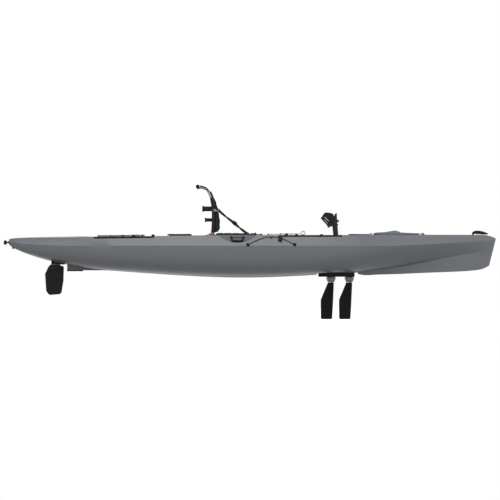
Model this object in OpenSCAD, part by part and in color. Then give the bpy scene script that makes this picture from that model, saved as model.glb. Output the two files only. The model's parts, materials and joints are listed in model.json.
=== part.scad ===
/* [Hull] */
// Length of the moulded hull, stern to stem
hull_length = 4840; // [4600:10:5200]
// Beam at the crease, the widest line of the hull
hull_beam = 730; // [710:5:780]
// Height of the foredeck above the keel line
hull_depth = 420; // [412:4:460]
// Wall of the one-piece moulded shell
hull_wall = 6; // [5:0.5:8]
// Height of the footwell floor above the keel line
floor_height = 150; // [140:5:170]
// Height of the ledge that the seat stands on
ledge_height = 372; // [360:2:384]
// Bore of the two scupper sleeves that take the posts of a cart
scupper_bore = 30; // [26:1:34]
// Bore of the mast socket in the foredeck
mast_bore = 45; // [38:1:50]
/* [Fittings] */
// Height of the accessory rails on the gunwales
rail_height = 18; // [14:1:22]
// Width of the accessory rails
rail_width = 24; // [20:1:28]
// Diameter of the elastic shock cord
cord_diameter = 6; // [5:0.5:8]
// Diameter of the round hatch lids
hatch_diameter = 236; // [216:4:250]
// Height of the bow hatch lid above the deck
lid_rise = 40; // [30:2:50]
// Length of the bow carry handle
bow_handle_length = 154; // [140:2:170]
// Width of the stern carry handle
stern_handle_width = 90; // [80:2:110]
/* [Seat] */
// Distance between the side tubes of the seat
seat_width = 440; // [400:10:460]
// Diameter of the seat's tubes
tube_diameter = 24; // [20:1:26]
// Length of the seat pan
seat_length = 530; // [500:10:560]
// Height of the backrest above its hinge
back_height = 458; // [430:4:500]
// Width of the webbing straps
strap_width = 25; // [20:1:30]
/* [Drive] */
// Length of the crank arms from axle to tip
crank_length = 515; // [480:5:540]
// Height of the crank axle above the keel line
axle_height = 128; // [122:2:134]
// Diameter of the crank axle
axle_diameter = 24; // [20:1:28]
// Width of each pedal
pedal_width = 105; // [90:5:120]
// Sweep radius of the fins, hub axis to tip
fin_span = 404; // [360:4:440]
// Width of a fin at its tip
fin_chord = 110; // [90:2:120]
// Distance between the two fin masts
fin_spacing = 182; // [170:2:190]
// Diameter of the fin masts
mast_rod = 10; // [8:0.5:12]
/* [Rudder] */
// Height of the rudder blade
rudder_height = 290; // [250:5:330]
// Chord of the rudder blade
rudder_chord = 186; // [160:2:200]
// Thickness of the rudder blade
rudder_thickness = 10; // [8:1:14]
// Diameter of the rudder post
post_diameter = 18; // [14:1:20]

/* [Hidden] */
$fn = 48;

overall = hull_length + 50;
KX = hull_length / 4840;
KY = hull_beam / 730;
KZ = hull_depth / 420;
HUB_Z = -12;
KEEL = fin_span - HUB_Z;
BLACK = "#26272a";

function x_of(p) = hull_length * (p / 100) - overall / 2 + 50;
function p_of(x) = (x + overall / 2 - 50) / hull_length * 100;

// Lines of the hull, in percent of its length and millimetres at nominal size:
// p, keel z, keel half width, bilge y, bilge z, fullness, half beam, beam z,
// shoulder y, shoulder z, deck edge y, deck edge z, deck centre z
LINES = [
    [0,    324,  8, 12, 334, 1.7,  22, 352,  18, 372,  15, 379, 380],
    [0.7,  299,  9, 16, 309, 1.8,  40, 346,  32, 372,  27, 386, 388],
    [3.2,  243, 11, 24, 250, 2.0,  82, 334,  66, 362,  58, 391, 396],
    [7.2,  180, 13, 36, 187, 2.1, 142, 322, 120, 352, 110, 393, 401],
    [11.2, 134, 16, 46, 141, 2.2, 196, 316, 170, 350, 158, 394, 404],
    [14.2, 109, 18, 54, 116, 2.3, 234, 315, 206, 368, 196, 396, 408],
    [16.6,  86, 20, 58,  94, 2.4, 262, 315, 230, 398, 221, 401, 408],
    [24.3,  55, 24, 64,  62, 2.5, 320, 315, 284, 401, 274, 405, 410],
    [34.4,  22, 28, 70,  32, 2.6, 354, 315, 313, 408, 303, 412, 414],
    [44.5,   0, 30, 74,  14, 2.7, 365, 315, 322, 414, 312, 420, 421],
    [51.5,   0, 30, 74,  14, 2.7, 365, 315, 322, 415, 312, 421, 422],
    [59.6,  15, 30, 74,  28, 2.6, 361, 315, 318, 411, 308, 419, 420],
    [65.6,  32, 30, 70,  46, 2.4, 346, 315, 304, 411, 294, 419, 420],
    [71.7,  30, 28, 56,  58, 1.9, 312, 315, 268, 410, 258, 421, 422],
    [73.2,  21, 26, 50,  66, 1.8, 300, 315, 244, 394, 234, 422, 424],
    [75.5,  27, 24, 44,  76, 1.6, 281, 315, 206, 373, 197, 421, 425],
    [80,    33, 20, 34, 105, 1.35, 228, 317, 158, 372, 150, 421, 425],
    [85,    44, 17, 27, 150, 1.2, 164, 326, 112, 376, 105, 421, 425],
    [90,    53, 13, 20, 200, 1.15, 104, 340,  70, 384,  64, 421, 424],
    [94,    62, 10, 15, 235, 1.15,  62, 352,  42, 392,  37, 421, 423],
    [97,    74,  8, 11, 255, 1.2,  34, 362,  25, 400,  21, 420, 422],
    [98.7,  90,  7,  9, 262, 1.3,  19, 368,  15, 398,  13, 410, 412],
    [100,  118,  5,  6, 265, 1.5,   9, 366,   8, 378,   7, 385, 387],
];
function span_of(p, i = 0) = i >= len(LINES) - 2 || p < LINES[i + 1][0] ? i : span_of(p, i + 1);
function slope_at(c, i) = let(a = max(i - 1, 0), b = min(i + 1, len(LINES) - 1))
    (LINES[b][c] - LINES[a][c]) / (LINES[b][0] - LINES[a][0]);
function line_at(c, p) = let(i = span_of(p), h = LINES[i + 1][0] - LINES[i][0], u = (p - LINES[i][0]) / h)
    LINES[i][c] * (1 + 2 * u) * (1 - u) * (1 - u) + slope_at(c, i) * h * u * (1 - u) * (1 - u)
    + LINES[i + 1][c] * u * u * (3 - 2 * u) - slope_at(c, i + 1) * h * u * u * (1 - u);
function edge_y(x) = KY * line_at(10, p_of(x));
function edge_z(x) = KZ * line_at(11, p_of(x));
function shoulder_y(x) = KY * line_at(8, p_of(x));
// Half breadth of the topsides at a height between the crease and the shoulder
function side_y(x, z) = let(p = p_of(x), u = (z / KZ - line_at(7, p)) / (line_at(9, p) - line_at(7, p)))
    KY * (line_at(6, p) + max(0, min(1, u)) * (line_at(8, p) - line_at(6, p)));

// Rake of the stem: stations near the bow slide aft toward the keel
STEM_RAKE = 0.25;
function lean(p) = p < 92 ? 0 : STEM_RAKE * pow((p - 92) / 8, 2);
SIDE_STEPS = 8;
function half_section(p) = let(k = [for (c = [0:12]) c == 0 ? p : line_at(c, p)])
    [[0, k[1], 0], [k[2], k[1], 0], [(k[2] + k[3]) / 2 + 1, k[1] * 0.45 + k[4] * 0.55, 0],
     for (i = [0:SIDE_STEPS]) let(a = 90 * i / SIDE_STEPS)
        [k[3] + (k[6] - k[3]) * pow(sin(a), 2 / k[5]), k[7] - (k[7] - k[4]) * pow(cos(a), 2 / k[5]), 0.5 * i / SIDE_STEPS],
     [k[8], k[9], 0.8], [k[10], k[11], 1], [k[10] * 0.5, (k[11] + 3 * k[12]) / 4, 1], [0, k[12], 1]];
function inset(y, t) = y > 3 * t ? y - t : y * 2 / 3;
function section(p, t) = let(h = half_section(p), n = len(h), s = lean(p),
    r = [for (q = h) [inset(q[0] * KY, t), q[1] * KZ + t * (1 - 2 * q[2])]])
    [for (q = r) [x_of(p) + s * (q[1] - 388 * KZ), q[0], q[1]],
     for (i = [n - 2:-1:1]) [x_of(p) + s * (r[i][1] - 388 * KZ), -r[i][0], r[i][1]]];
STATIONS = concat([0, 0.7, 1.5, 2.6], [for (p = [4:2:72]) p], [73, 74, 75, 76], [for (p = [78:2:94]) p],
    [96, 97.2, 98.2, 99.2, 100]);

// Closed skin over rings that all have the same number of points
module skin(rings) {
    m = len(rings[0]);
    n = len(rings);
    polyhedron([for (r = rings) for (q = r) q], concat(
        [[for (j = [0:m - 1]) j]],
        [[for (j = [m - 1:-1:0]) (n - 1) * m + j]],
        [for (i = [0:n - 2]) for (j = [0:m - 1]) let(a = i * m + j, b = i * m + (j + 1) % m)
            each [[a, a + m, b + m], [a, b + m, b]]]));
}
function unit(v) = v / norm(v);
function bend(a, b, c, r) = let(u = unit(a - b), w = unit(c - b), k = min(r, norm(a - b) / 2.2, norm(c - b) / 2.2))
    [for (t = [0:0.25:1]) (1 - t) * (1 - t) * (b + u * k) + 2 * t * (1 - t) * b + t * t * (b + w * k)];
function soft(path, r) = [path[0], for (i = [1:len(path) - 2]) each bend(path[i - 1], path[i], path[i + 1], r),
    path[len(path) - 1]];
// Round bar along a route that lies in the plane square to flat
module pipe(path, r, flat = [0, 1, 0], sides = 12) {
    n = len(path);
    skin([for (i = [0:n - 1]) let(
        t = unit((i > 0 ? unit(path[i] - path[i - 1]) : [0, 0, 0]) + (i < n - 1 ? unit(path[i + 1] - path[i]) : [0, 0, 0])),
        u = unit(cross(t, flat)), v = cross(t, u))
        [for (j = [0:sides - 1]) path[i] + r * (cos(360 * j / sides) * u + sin(360 * j / sides) * v)]]);
}
module along_y(h, r) rotate([90, 0, 0]) cylinder(h = h, r = r, center = true);
module along_x(h, r) rotate([0, 90, 0]) cylinder(h = h, r = r, center = true);
module keel() translate([0, 0, KEEL]) children();
module both() {
    children();
    mirror([0, 1, 0]) children();
}
// Outline in the X-Z plane given a thickness across the hull, centred
module slab(points, t) rotate([90, 0, 0]) linear_extrude(t, center = true) polygon(points);
// Plan outline with round corners, half widths w0 aft and w1 forward
function plan(x0, w0, x1, w1, r, g = 0, steps = 5) =
    [for (c = [[x1 - r, w1 - r, 0], [x0 + r, w0 - r, 90], [x0 + r, r - w0, 180], [x1 - r, r - w1, 270]])
        for (i = [0:steps]) let(a = c[2] + 90 * i / steps) [c[0] + (r + g) * cos(a), c[1] + (r + g) * sin(a)]];

LEDGE = ledge_height * KZ;
FLOOR = floor_height * KZ;
RECESS = 90 * KZ;
TANK = 230 * KZ;
WELL_X = 855 * KX;
WELL_W = 45;
HATCH_X = -700 * KX;
CENTRE_X = 330 * KX;
CENTRE_R = 74;
SCUPPER_X = -1080 * KX;
SCUPPER_Y = 120 * KY;
SLEEVE_R = scupper_bore / 2 + 3;
SCOOP_X = -124 * KX;
BOW_X0 = 1213 * KX;
MAST_R = mast_bore / 2 + 4;
MAST_X = BOW_X0 - MAST_R - 34.5;
BOW_X1 = 1710 * KX;
RUDDER_X = -1908 * KX;
BRACKET_Z = 128 * KZ;
TANK_X0 = -1609 * KX;
TANK_X1 = -960 * KX;
REAR_RAIL = [-1543 * KX, -944 * KX, 0.7];
FRONT_RAIL = [278 * KX, 909 * KX, 0.1];
PAD_RAIL = [984 * KX, 1112 * KX, 0];
function rail_y(x) = edge_y(x) - 1;
function rail_outline(a, b, g) = concat(
    [for (i = [0:8]) let(x = a - g + (b - a + 2 * g) * i / 8) [x, rail_y(x) + (g > 0 ? 60 : 2)]],
    [for (i = [8:-1:0]) let(x = a - g + (b - a + 2 * g) * i / 8) [x, rail_y(x) - rail_width + 2 - g]]);
function rail_seat(rail) = edge_z((rail[0] + rail[1]) / 2) - rail_height + 1;
function rail_top(x) = let(r = x < 0 ? REAR_RAIL : FRONT_RAIL) rail_seat(r) + rail_height + (x - (r[0] + r[1]) / 2) * tan(r[2]) + 0.3;
module on_rail(rail) translate([(rail[0] + rail[1]) / 2, 0, rail_seat(rail)]) rotate([0, -rail[2], 0])
    translate([-(rail[0] + rail[1]) / 2, 0, 0]) children();
module rebate(rail, g) both() on_rail(rail)
    translate([0, 0, -g]) linear_extrude(200) polygon(rail_outline(rail[0], rail[1], 0.5 + g));

module hole(x0, w0, x1, w1, r, z, g) translate([0, 0, z - g]) linear_extrude(600) hull() {
    for (s = [-1, 1]) translate([x0 + r, s * (w0 - r)]) circle(r + g, $fn = 24);
    for (s = [-1, 1]) translate([x1 - r, s * (w1 - r)]) circle(r + g, $fn = 24);
}
module wells(g) {
    hole(-60 * KX, 200 * KY, 1064 * KX, 190 * KY, 60, FLOOR, g);
    hole(-498 * KX, 262 * KY, 150 * KX, 262 * KY, 50, LEDGE, g);
    hole(-440 * KX, 170 * KY, 60 * KX, 170 * KY, 60, 236 * KZ, g);
    hole(TANK_X0, 150 * KY, TANK_X1, 205 * KY, 60, TANK, g);
    hole(670 * KX, WELL_W, 1040 * KX, WELL_W, 30, -100, g);
    hole(690 * KX, 90, 1056 * KX, 90, 20, RECESS, g);
    // Flat pockets under the hull for the drive plate and the rudder bracket
    translate([0, 0, -500]) linear_extrude(500 + PLATE_Z + 40.3 + g)
        hull() for (x = [672, 1066], s = [-1, 1]) translate([x * KX, s * 66]) circle(8 + g, $fn = 16);
    translate([RUDDER_X, 0, -500]) linear_extrude(500 + BRACKET_Z + 40 + g) square([134 + 2 * g, 60 + 2 * g], center = true);
    for (s = [-1, 1]) translate([SCOOP_X, s * (SIDE_Y + 200 - g), 619 * KZ]) along_y(400, 275 * KZ + g, $fn = 96);
    for (s = [-1, 1]) translate([SCUPPER_X, s * SCUPPER_Y, -100]) cylinder(h = 900, r = SLEEVE_R + 0.2 + g);
    rebate(REAR_RAIL, g);
    rebate(FRONT_RAIL, g);
}

module hull_shell() color("#6c6f73") keel() difference() {
    union() {
        skin([for (p = STATIONS) section(p, 0)]);
        // Skeg blade under the stern, deepening aft
        hull() for (q = [[-1812, 70], [-1812, 130], [-1390, 70], [-1300, 85]])
            translate([q[0] * KX, 0, q[1] * KZ + 5]) cube([10, 26, 10], center = true);
    }
    wells(0);
    difference() {
        skin([for (p = STATIONS) if (p > 1.5 && p < 98) section(p, hull_wall)]);
        wells(hull_wall);
    }
    // Openings of the three hatches and the mast socket
    translate([HATCH_X, 0, TANK + 60]) cylinder(h = 400, r = hatch_diameter / 2 - 14, $fn = 64);
    translate([CENTRE_X, 0, FLOOR - 40]) cylinder(h = 400, r = CENTRE_R - 8, $fn = 48);
    translate([0, 0, 300 * KZ]) linear_extrude(400) polygon(plan(BOW_X0 + 34, 112, BOW_X1 - 46, 60, 30));
    translate([MAST_X, 0, 300 * KZ]) cylinder(h = 300, r = MAST_R + 0.3, $fn = 40);
    // Seat of the drain plug
    translate([DRAIN[0], 0, DRAIN[2]]) rotate([0, DRAIN_TILT, 0]) translate([0, 0, -40]) cylinder(h = 80, r = 9.3, $fn = 32);
}
DRAIN = [-2353 * KX, 0, 293 * KZ];
DRAIN_TILT = 30;

module skeg_strip() color(BLACK) keel() difference() {
    translate([-1740 * KX, 0, 70 * KZ - 3]) cube([158, 34, 12], center = true);
    translate([-1740 * KX, 0, 70 * KZ + 10]) cube([200, 26.6, 20], center = true);
}
module rail(r) both() on_rail(r) difference() {
    linear_extrude(rail_height) polygon(rail_outline(r[0], r[1], 0));
    translate([0, 0, rail_height - 3.5]) linear_extrude(10) polygon([for (q = rail_outline(r[0] + 30, r[1] - 30, 0))
        [q[0], q[1] + (rail_y(q[0]) - rail_width / 2 + 1 - q[1]) * 0.62]]);
}
module rear_rails() color(BLACK) keel() rail(REAR_RAIL);
module front_rails() color(BLACK) keel() {
    rail(FRONT_RAIL);
    both() translate([0, 0, edge_z(PAD_RAIL[1]) + 0.4]) linear_extrude(8) polygon(rail_outline(PAD_RAIL[0], PAD_RAIL[1], 0));
}
module knob(x, r, h) translate([x, rail_y(x) - rail_width / 2 + 1, rail_top(x)]) cylinder(h = h, r = r);
module rail_knobs() color(BLACK) keel() both() for (x = [-1347, -1158, -962, 461, 709])
    knob(x * KX, x > 0 ? 11 : 9, x > 0 ? 8 : x < -1300 ? 7 : 17);
// Wire rings that stand on the rails, each on a small foot
module eye(x, r, w) translate([x, rail_y(x) - rail_width / 2 + 1, rail_top(x)]) {
    cylinder(h = 3, r = 6);
    translate([0, 0, 1 + r + w]) rotate([90, 0, 0]) rotate_extrude() translate([r, 0]) circle(w, $fn = 20);
}
module deck_rings() color("#c4c6c8") keel() both() { eye(527 * KX, 18, 2); eye(-1118 * KX, 8, 1.6); }
PADEYES = [[-21, 322], [439, 325]];
function side_tilt(x) = let(p = p_of(x)) atan2(KY * (line_at(6, p) - line_at(8, p)), KZ * (line_at(9, p) - line_at(7, p)));
module on_side(x, z, turn = -90) translate([x, side_y(x, z), z]) rotate([turn + side_tilt(x), 0, 0]) children();
module padeye(q) on_side(q[0] * KX, q[1] * KZ) translate([0, 0, 0.4]) {
    cylinder(h = 5, r = 17);
    difference() {
        translate([0, 0, 5]) rotate([0, 90, 90]) rotate_extrude() translate([9, 0]) circle(3.4, $fn = 20);
        translate([0, 0, -18]) cube(40, center = true);
    }
}
module deck_padeyes() color(BLACK) keel() both() for (q = PADEYES) padeye(q);
module scupper_sleeves() color("#5c5f63") keel() both() translate([SCUPPER_X, SCUPPER_Y, 0]) difference() {
    union() {
        translate([0, 0, 60 * KZ]) cylinder(h = TANK - 60 * KZ + 1, r = SLEEVE_R);
        translate([0, 0, TANK]) cylinder(h = 4, r = SLEEVE_R + 9);
    }
    cylinder(h = 600, r = scupper_bore / 2);
}
function centre_z(x) = KZ * line_at(12, p_of(x));
DECK_MAST = centre_z(MAST_X + 40) + 0.3;
module mast_socket() color(BLACK) keel() translate([MAST_X, 0, DECK_MAST]) difference() {
    union() {
        cylinder(h = 6, r = MAST_R + 12);
        translate([0, 0, -340]) cylinder(h = 341, r = MAST_R);
    }
    translate([0, 0, -320]) cylinder(h = 400, r = mast_bore / 2);
}
module drain_plug() color(BLACK) keel() translate(DRAIN) rotate([0, DRAIN_TILT, 0]) difference() {
    union() { translate([0, 0, -9]) cylinder(h = 7, r = 13); translate([0, 0, -3]) cylinder(h = 24, r = 9); }
    translate([0, 0, -10]) cube([16, 3, 8], center = true);
}
module hatch_ring(r, bore) difference() {
    union() { cylinder(h = 7, r = r); translate([0, 0, -16]) cylinder(h = 17, r = bore + 5); }
    translate([0, 0, -20]) cylinder(h = 40, r = bore);
}
module hatch_lid(r, bore) difference() {
    union() { translate([0, 0, 7.2]) cylinder(h = 7, r = r - 6); translate([0, 0, -10]) cylinder(h = 18, r = bore - 0.4); }
    translate([0, 0, -20]) cylinder(h = 24, r = bore - 6);
    for (s = [-1, 1]) translate([0, s * r * 0.32, 17]) cube([r * 1.1, r * 0.2, 10], center = true);
}
REAR_DECK = centre_z(HATCH_X + hatch_diameter / 2 + 6) + 0.3;
module rear_hatch_ring() color(BLACK) keel() translate([HATCH_X, 0, REAR_DECK]) hatch_ring(hatch_diameter / 2 + 6, hatch_diameter / 2 - 20);
module rear_hatch_lid() color("#55575b") keel() translate([HATCH_X, 0, REAR_DECK]) hatch_lid(hatch_diameter / 2 + 6, hatch_diameter / 2 - 20);
module centre_hatch_ring() color(BLACK) keel() translate([CENTRE_X, 0, FLOOR]) hatch_ring(CENTRE_R + 12, CENTRE_R - 14);
module centre_hatch_lid() color("#55575b") keel() translate([CENTRE_X, 0, FLOOR]) hatch_lid(CENTRE_R + 12, CENTRE_R - 14);

// Bow hatch: gasket on the deck, domed lid hinged at its forward end
BOW_DECK = 425 * KZ;
module bow_hatch_seal() color(BLACK) keel() translate([0, 0, BOW_DECK + 0.2]) linear_extrude(4.8) difference() {
    polygon(plan(BOW_X0 + 20, 126, BOW_X1 - 34, 70, 34));
    polygon(plan(BOW_X0 + 34, 112, BOW_X1 - 46, 60, 30));
}
function lid_line(g) = [[BOW_X0, BOW_DECK + 5.3], [BOW_X0 + 6, BOW_DECK + 10 - g], [BOW_X0 + 41, BOW_DECK + lid_rise * 0.5 - g],
    [BOW_X0 + 119, BOW_DECK + lid_rise * 0.6 - g], [BOW_X0 + 214, BOW_DECK + lid_rise * 0.98 - g],
    [BOW_X0 + 236, BOW_DECK + lid_rise * 0.98 - g], [BOW_X0 + 262, BOW_DECK + lid_rise * 0.75 - g],
    [BOW_X0 + 282, BOW_DECK + lid_rise * 0.52 - g], [BOW_X0 + 377, BOW_DECK + lid_rise * 0.4 - g],
    [BOW_X1 - 10, BOW_DECK + 12 - g], [BOW_X1, BOW_DECK + 5.3]];
module bow_hatch_lid() color("#74777b") keel() difference() {
    union() {
        intersection() {
            slab(lid_line(0), 400);
            linear_extrude(1000) polygon(plan(BOW_X0, 150, BOW_X1, 84, 50));
        }
        translate(HINGE) along_y(50, 8.4);
        translate(HINGE + [-14, 0, -2]) cube([28, 50, 5], center = true);
    }
    translate(HINGE) along_y(60, 5.26);
    intersection() {
        slab(concat([[BOW_X0 - 9, BOW_DECK]], lid_line(5), [[BOW_X1 + 9, BOW_DECK]]), 400);
        linear_extrude(1000) polygon(plan(BOW_X0 + 38, 108, BOW_X1 - 50, 56, 28));
    }
}
HINGE = [BOW_X1 + 8, 0, BOW_DECK + 10];
module bow_hatch_hinge() color(BLACK) keel() translate(HINGE) {
    along_y(96, 5.2);
    both() translate([6, 38, -8]) cube([28, 20, 4], center = true);
    both() translate([2, 38, -3]) cube([9, 20, 10], center = true);
    translate(LATCH - HINGE) { cylinder(h = 16, r = 3.5); cylinder(h = 1.6, r = 9); }
}
// Turn button at the aft edge of the lid, shown released
LATCH = [BOW_X0 - 12, 0, BOW_DECK];
module bow_hatch_latch() color("#4a4c50") keel() translate(LATCH) difference() {
    union() { translate([0, 0, 2]) cylinder(h = 12, r = 7); translate([-6, 0, 10.6]) cube([12, 18, 3.4]); }
    cylinder(h = 40, r = 3.56);
}

BOW_GRIP = [2220 * KX, 0, centre_z(2216 * KX) + 20];
module bow_handle() color(BLACK) keel() translate(BOW_GRIP) difference() {
    union() {
        along_y(30, 9);
        intersection() {
            slab([[-10, -4], [-6, 8], [10, 18], [40, 22], [80, 17], [bow_handle_length - 44, 8], [bow_handle_length - 18, -3],
                [bow_handle_length - 10, -12], [bow_handle_length - 14, -18], [100, -18], [12, -12], [-4, -9]], 80);
            translate([0, 0, -40]) linear_extrude(90) polygon(plan(-10, 15, bow_handle_length - 10, 34, 14));
        }
    }
    along_y(90, 4.05);
    translate([0, 0, -40]) linear_extrude(90) polygon(plan(34, 9, bow_handle_length - 36, 20, 8));
}
module bow_handle_clip() color("#4a4c50") keel() translate(BOW_GRIP) {
    along_y(52, 4);
    both() translate([-4, 20.5, -7.6]) cube([16, 10, 24.2], center = true);
}
STERN_GRIP = [50 - overall / 2 - 6, 0, 348 * KZ];
module stern_handle() color(BLACK) keel() translate(STERN_GRIP) difference() {
    union() {
        slab([[-44, -14], [-37, -24], [-25, -24], [-18, -14], [-18, 12], [-25, 20], [-37, 20], [-44, 12]], stern_handle_width);
        both() translate([-14, stern_handle_width / 2 - 8, 0]) cube([28, 15, 13], center = true);
        both() translate([0, stern_handle_width / 2 - 8, 0]) along_y(15, 8);
    }
    along_y(stern_handle_width + 20, 4.05);
}
module stern_handle_clips() color("#4a4c50") keel() translate(STERN_GRIP) {
    along_y(stern_handle_width + 14, 4);
    translate([0.8, 0, 0]) cube([9.8, 40, 22], center = true);
}
SIDE_Z = 398 * KZ;
SIDE_Y = 296 * KY;
module side_grip() translate([SCOOP_X, SIDE_Y + 14, SIDE_Z]) {
    difference() { union() { for (s = [-1, 1]) translate([s * 54, 0, 0]) along_x(12, 7); }
        along_x(160, 3.1); }
    for (s = [-1, 1]) translate([s * 54, 0, -22]) cube([10, 8, 32], center = true);
    translate([0, 0, -38]) along_x(118, 8);
}
module side_handle_starboard() color(BLACK) keel() scale([1, -1, 1]) side_grip();
module side_handle_port() color(BLACK) keel() side_grip();
module side_handle_clips() color("#4a4c50") keel() both() translate([SCOOP_X, SIDE_Y, SIDE_Z]) {
    translate([0, 14, 0]) along_x(140, 3);
    for (s = [-1, 1]) translate([s * 68, 9.8, 0]) cube([9, 19, 16], center = true);
}
STUD_X = 207 * KX;
module paddle_keeper_studs() color(BLACK) keel() both() on_side(STUD_X, 393 * KZ)
    rotate_extrude() polygon([[0, 0.4], [5, 0.4], [5, 10], [9, 10], [9, 13], [0, 13]]);
// Shock cord that holds a paddle: up from one eye, over the stud, down to the other
function lace(x, z, out = 7) = [x * KX, side_y(x * KX, z * KZ) + out, z * KZ];
KEEPER = [[-16, 327], [30, 352], [144, 399], [207, 405], [286, 396]];
KEEPER_FORE = [[296, 353], [360, 345], [434, 329]];
module paddle_keeper_cords() color("#1f2023") keel() both() {
    pipe(soft([for (q = KEEPER) lace(q[0], q[1])], 30), cord_diameter / 2, [0.1, 0.9, 0.4]);
    pipe(soft([for (q = KEEPER_FORE) lace(q[0], q[1])], 20), cord_diameter / 2, [0.1, 0.9, 0.4]);
}
module paddle_keeper_toggles() color(BLACK) keel() both() on_side(299 * KX, 375 * KZ, 0)
    translate([0, 6.5, 0]) rotate([0, 18, 0]) cube([38, 12, 48], center = true);
// Lacing over the tank well, hooked on knobs along both edges
LACING = [[-1500, 1], [-1380, -1], [-1260, 1], [-1140, -1], [-1060, 1]];
module tankwell_cord() color("#1f2023") keel() {
    for (q = LACING, s = [-1, 1]) let(x = q[0] * KX) translate([x, s * lace_y(x), deck_z(x, lace_y(x)) + 0.3])
        cylinder(h = 17, r = 7);
    for (i = [0:len(LACING) - 2], s = [-1, 1]) let(a = LACING[i][0] * KX, b = LACING[i + 1][0] * KX, m = s * LACING[i][1])
        pipe([[a + 6, m * lace_y(a), deck_z(a, lace_y(a)) + 9.2 + s * 3.5], [b - 6, -m * lace_y(b), deck_z(b, lace_y(b)) + 9.2 + s * 3.5]],
            cord_diameter / 2, [0, 0, 1], 8);
}
function lace_y(x) = edge_y(x) - rail_width - 10;
function deck_z(x, y) = let(u = (edge_y(x) - y) / edge_y(x) * 2)
    edge_z(x) + (u < 1 ? 0.75 * u : 0.5 + 0.25 * u) * (centre_z(x) - edge_z(x));

// Seat, in its own heights above the ledge
TR = tube_diameter / 2;
SX0 = -440;
SX1 = SX0 + seat_length - 14;
TUBE_Z = LEDGE + 28 + TR;
HW = seat_width / 2;
PIVOT = [-372, 0, LEDGE + 69];
module seat() keel() children();
module seat_base_frame() color("#2b2c2f") seat() {
    both() pipe(soft([[SX0 + 10, 0, TUBE_Z], [SX0 + 10, HW, TUBE_Z], [SX1 - 10, HW, TUBE_Z], [SX1 - 10, 0, TUBE_Z]], 40), TR, [0, 0, 1]);
    both() difference() {
        translate([PIVOT[0] - 16, HW - 13 - TR, TUBE_Z]) cube([32, 9, PIVOT[2] - TUBE_Z + 14]);
        translate([PIVOT[0], HW - TR - 8, PIVOT[2]]) along_y(30, 5.1);
    }
    both() translate([PIVOT[0], HW - TR - 2, TUBE_Z]) cube([32, 10, 14], center = true);
    both() translate([STRAP_A[0], HW + TR, 0]) {
        translate([-12, -6, TUBE_Z - 8]) cube([24, 9, 14]);
        translate([-12, 0, TUBE_Z]) cube([24, 3.4, STRAP_A[2] - TUBE_Z + 12]);
        translate([0, 8, STRAP_A[2]]) along_y(12, 4);
    }
}
module seat_feet() color("#3a3b3f") seat() both() for (x = [SX0 + 90, SX1 - 90]) difference() {
    translate([x, HW, LEDGE + TR / 2 + 9.75]) cube([60, 30, TR + 19.5], center = true);
    translate([x, HW, TUBE_Z]) along_x(90, TR + 0.2);
}
// Sling of the seat: two faces set by functions of the place along and across
module sling(nu, nv, front, back) let(m = nv + 1, n = (nu + 1) * m) polyhedron(
    concat([for (i = [0:nu], j = [0:nv]) front(i / nu, j / nv)], [for (i = [0:nu], j = [0:nv]) back(i / nu, j / nv)]),
    concat(
        [for (i = [0:nu - 1], j = [0:nv - 1]) let(a = i * m + j) each
            [[a, a + m, a + m + 1], [a, a + m + 1, a + 1], [n + a + 1, n + a + m + 1, n + a + m], [n + a + 1, n + a + m, n + a]]],
        [for (i = [0:nu - 1]) let(a = i * m, b = a + nv) each
            [[b, b + m, n + b + m], [b, n + b + m, n + b], [n + a, n + a + m, a + m], [n + a, a + m, a]]],
        [for (j = [0:nv - 1]) let(a = nu * m + j) each
            [[j, j + 1, n + j + 1], [j, n + j + 1, n + j], [a, n + a + 1, a + 1], [a, n + a, n + a + 1]]]));
function dish(u) = 1 - pow(abs(2 * u - 1), 2.4);
function quilt(t, n, d) = d * pow(abs(cos(180 * n * t)), 6);
function ease(t) = let(c = max(0, min(1, t))) c * (2 - c);
module seat_pan() color("#232427") seat() let(
    w = seat_width + 20, a = PIVOT[0] + 24, l = SX1 + 6 - a, z = TUBE_Z + TR + 0.4,
    sag = function(u, v) ease(((0.5 - abs(u - 0.5)) * w - TR - 21) / 70) * ease(((1 - v) * l - TR - 31) / 90) * ease(v * l / 70))
    sling(14, 20,
        function(u, v) [a + l * v, (u - 0.5) * w, z + 16 - 5 * v - 26 * sag(u, v) - quilt(v, 5, 2) - 6 * pow(abs(2 * u - 1), 10)],
        function(u, v) [a + l * v, (u - 0.5) * w, z - 20 * sag(u, v)]);
module seat_hinge_pins() color("#b9bbbd") seat() both() translate([PIVOT[0], HW - TR - 6, PIVOT[2]]) along_y(26, 5);
BK = back_height / 458;
BACK_LINE = [[0, 8], [8, 130], [6, 249], [-12, 349], [-54, 434], [-102, 452], [-145, 458]];
function back_at(i) = PIVOT + [BACK_LINE[i][0], 0, BACK_LINE[i][1] * BK];
function back_x(z) = lookup(z, [for (q = BACK_LINE) [q[1] * BK, q[0]]]);
module seat_back_frame() color("#a9abae") seat() {
    both() difference() {
        union() {
            pipe(soft([for (i = [0:6]) back_at(i) + [0, HW - 1, 0]], 50), 11);
            translate([0, HW - 1, 0]) translate(PIVOT) along_y(20, 15);
            translate(PIVOT + [0, HW + 8, 213]) cube([72, 5, 22]);
            translate(STRAP_B + [0, HW + 18.5, 0]) rotate([0, STRAP_TURN, 0]) difference() {
                cube([6, 15, strap_width + 10], center = true);
                translate([0, 2, 0]) cube([8, 7, strap_width + 4], center = true);
            }
        }
        translate([0, HW - 1, 0]) translate(PIVOT) along_y(80, 5.1);
    }
    for (z = [130, 240]) translate(PIVOT + [back_x(z * BK), 0, z * BK]) along_y(2 * HW - 2, 8);
}
module seat_back_bar() color(BLACK) seat() translate(back_at(6)) difference() {
    along_y(2 * HW + 24, 19);
    both() translate([0, HW - 1, 0]) rotate([0, 98, 0]) translate([0, 0, -5]) cylinder(h = 40, r = 11.3);
}
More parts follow.
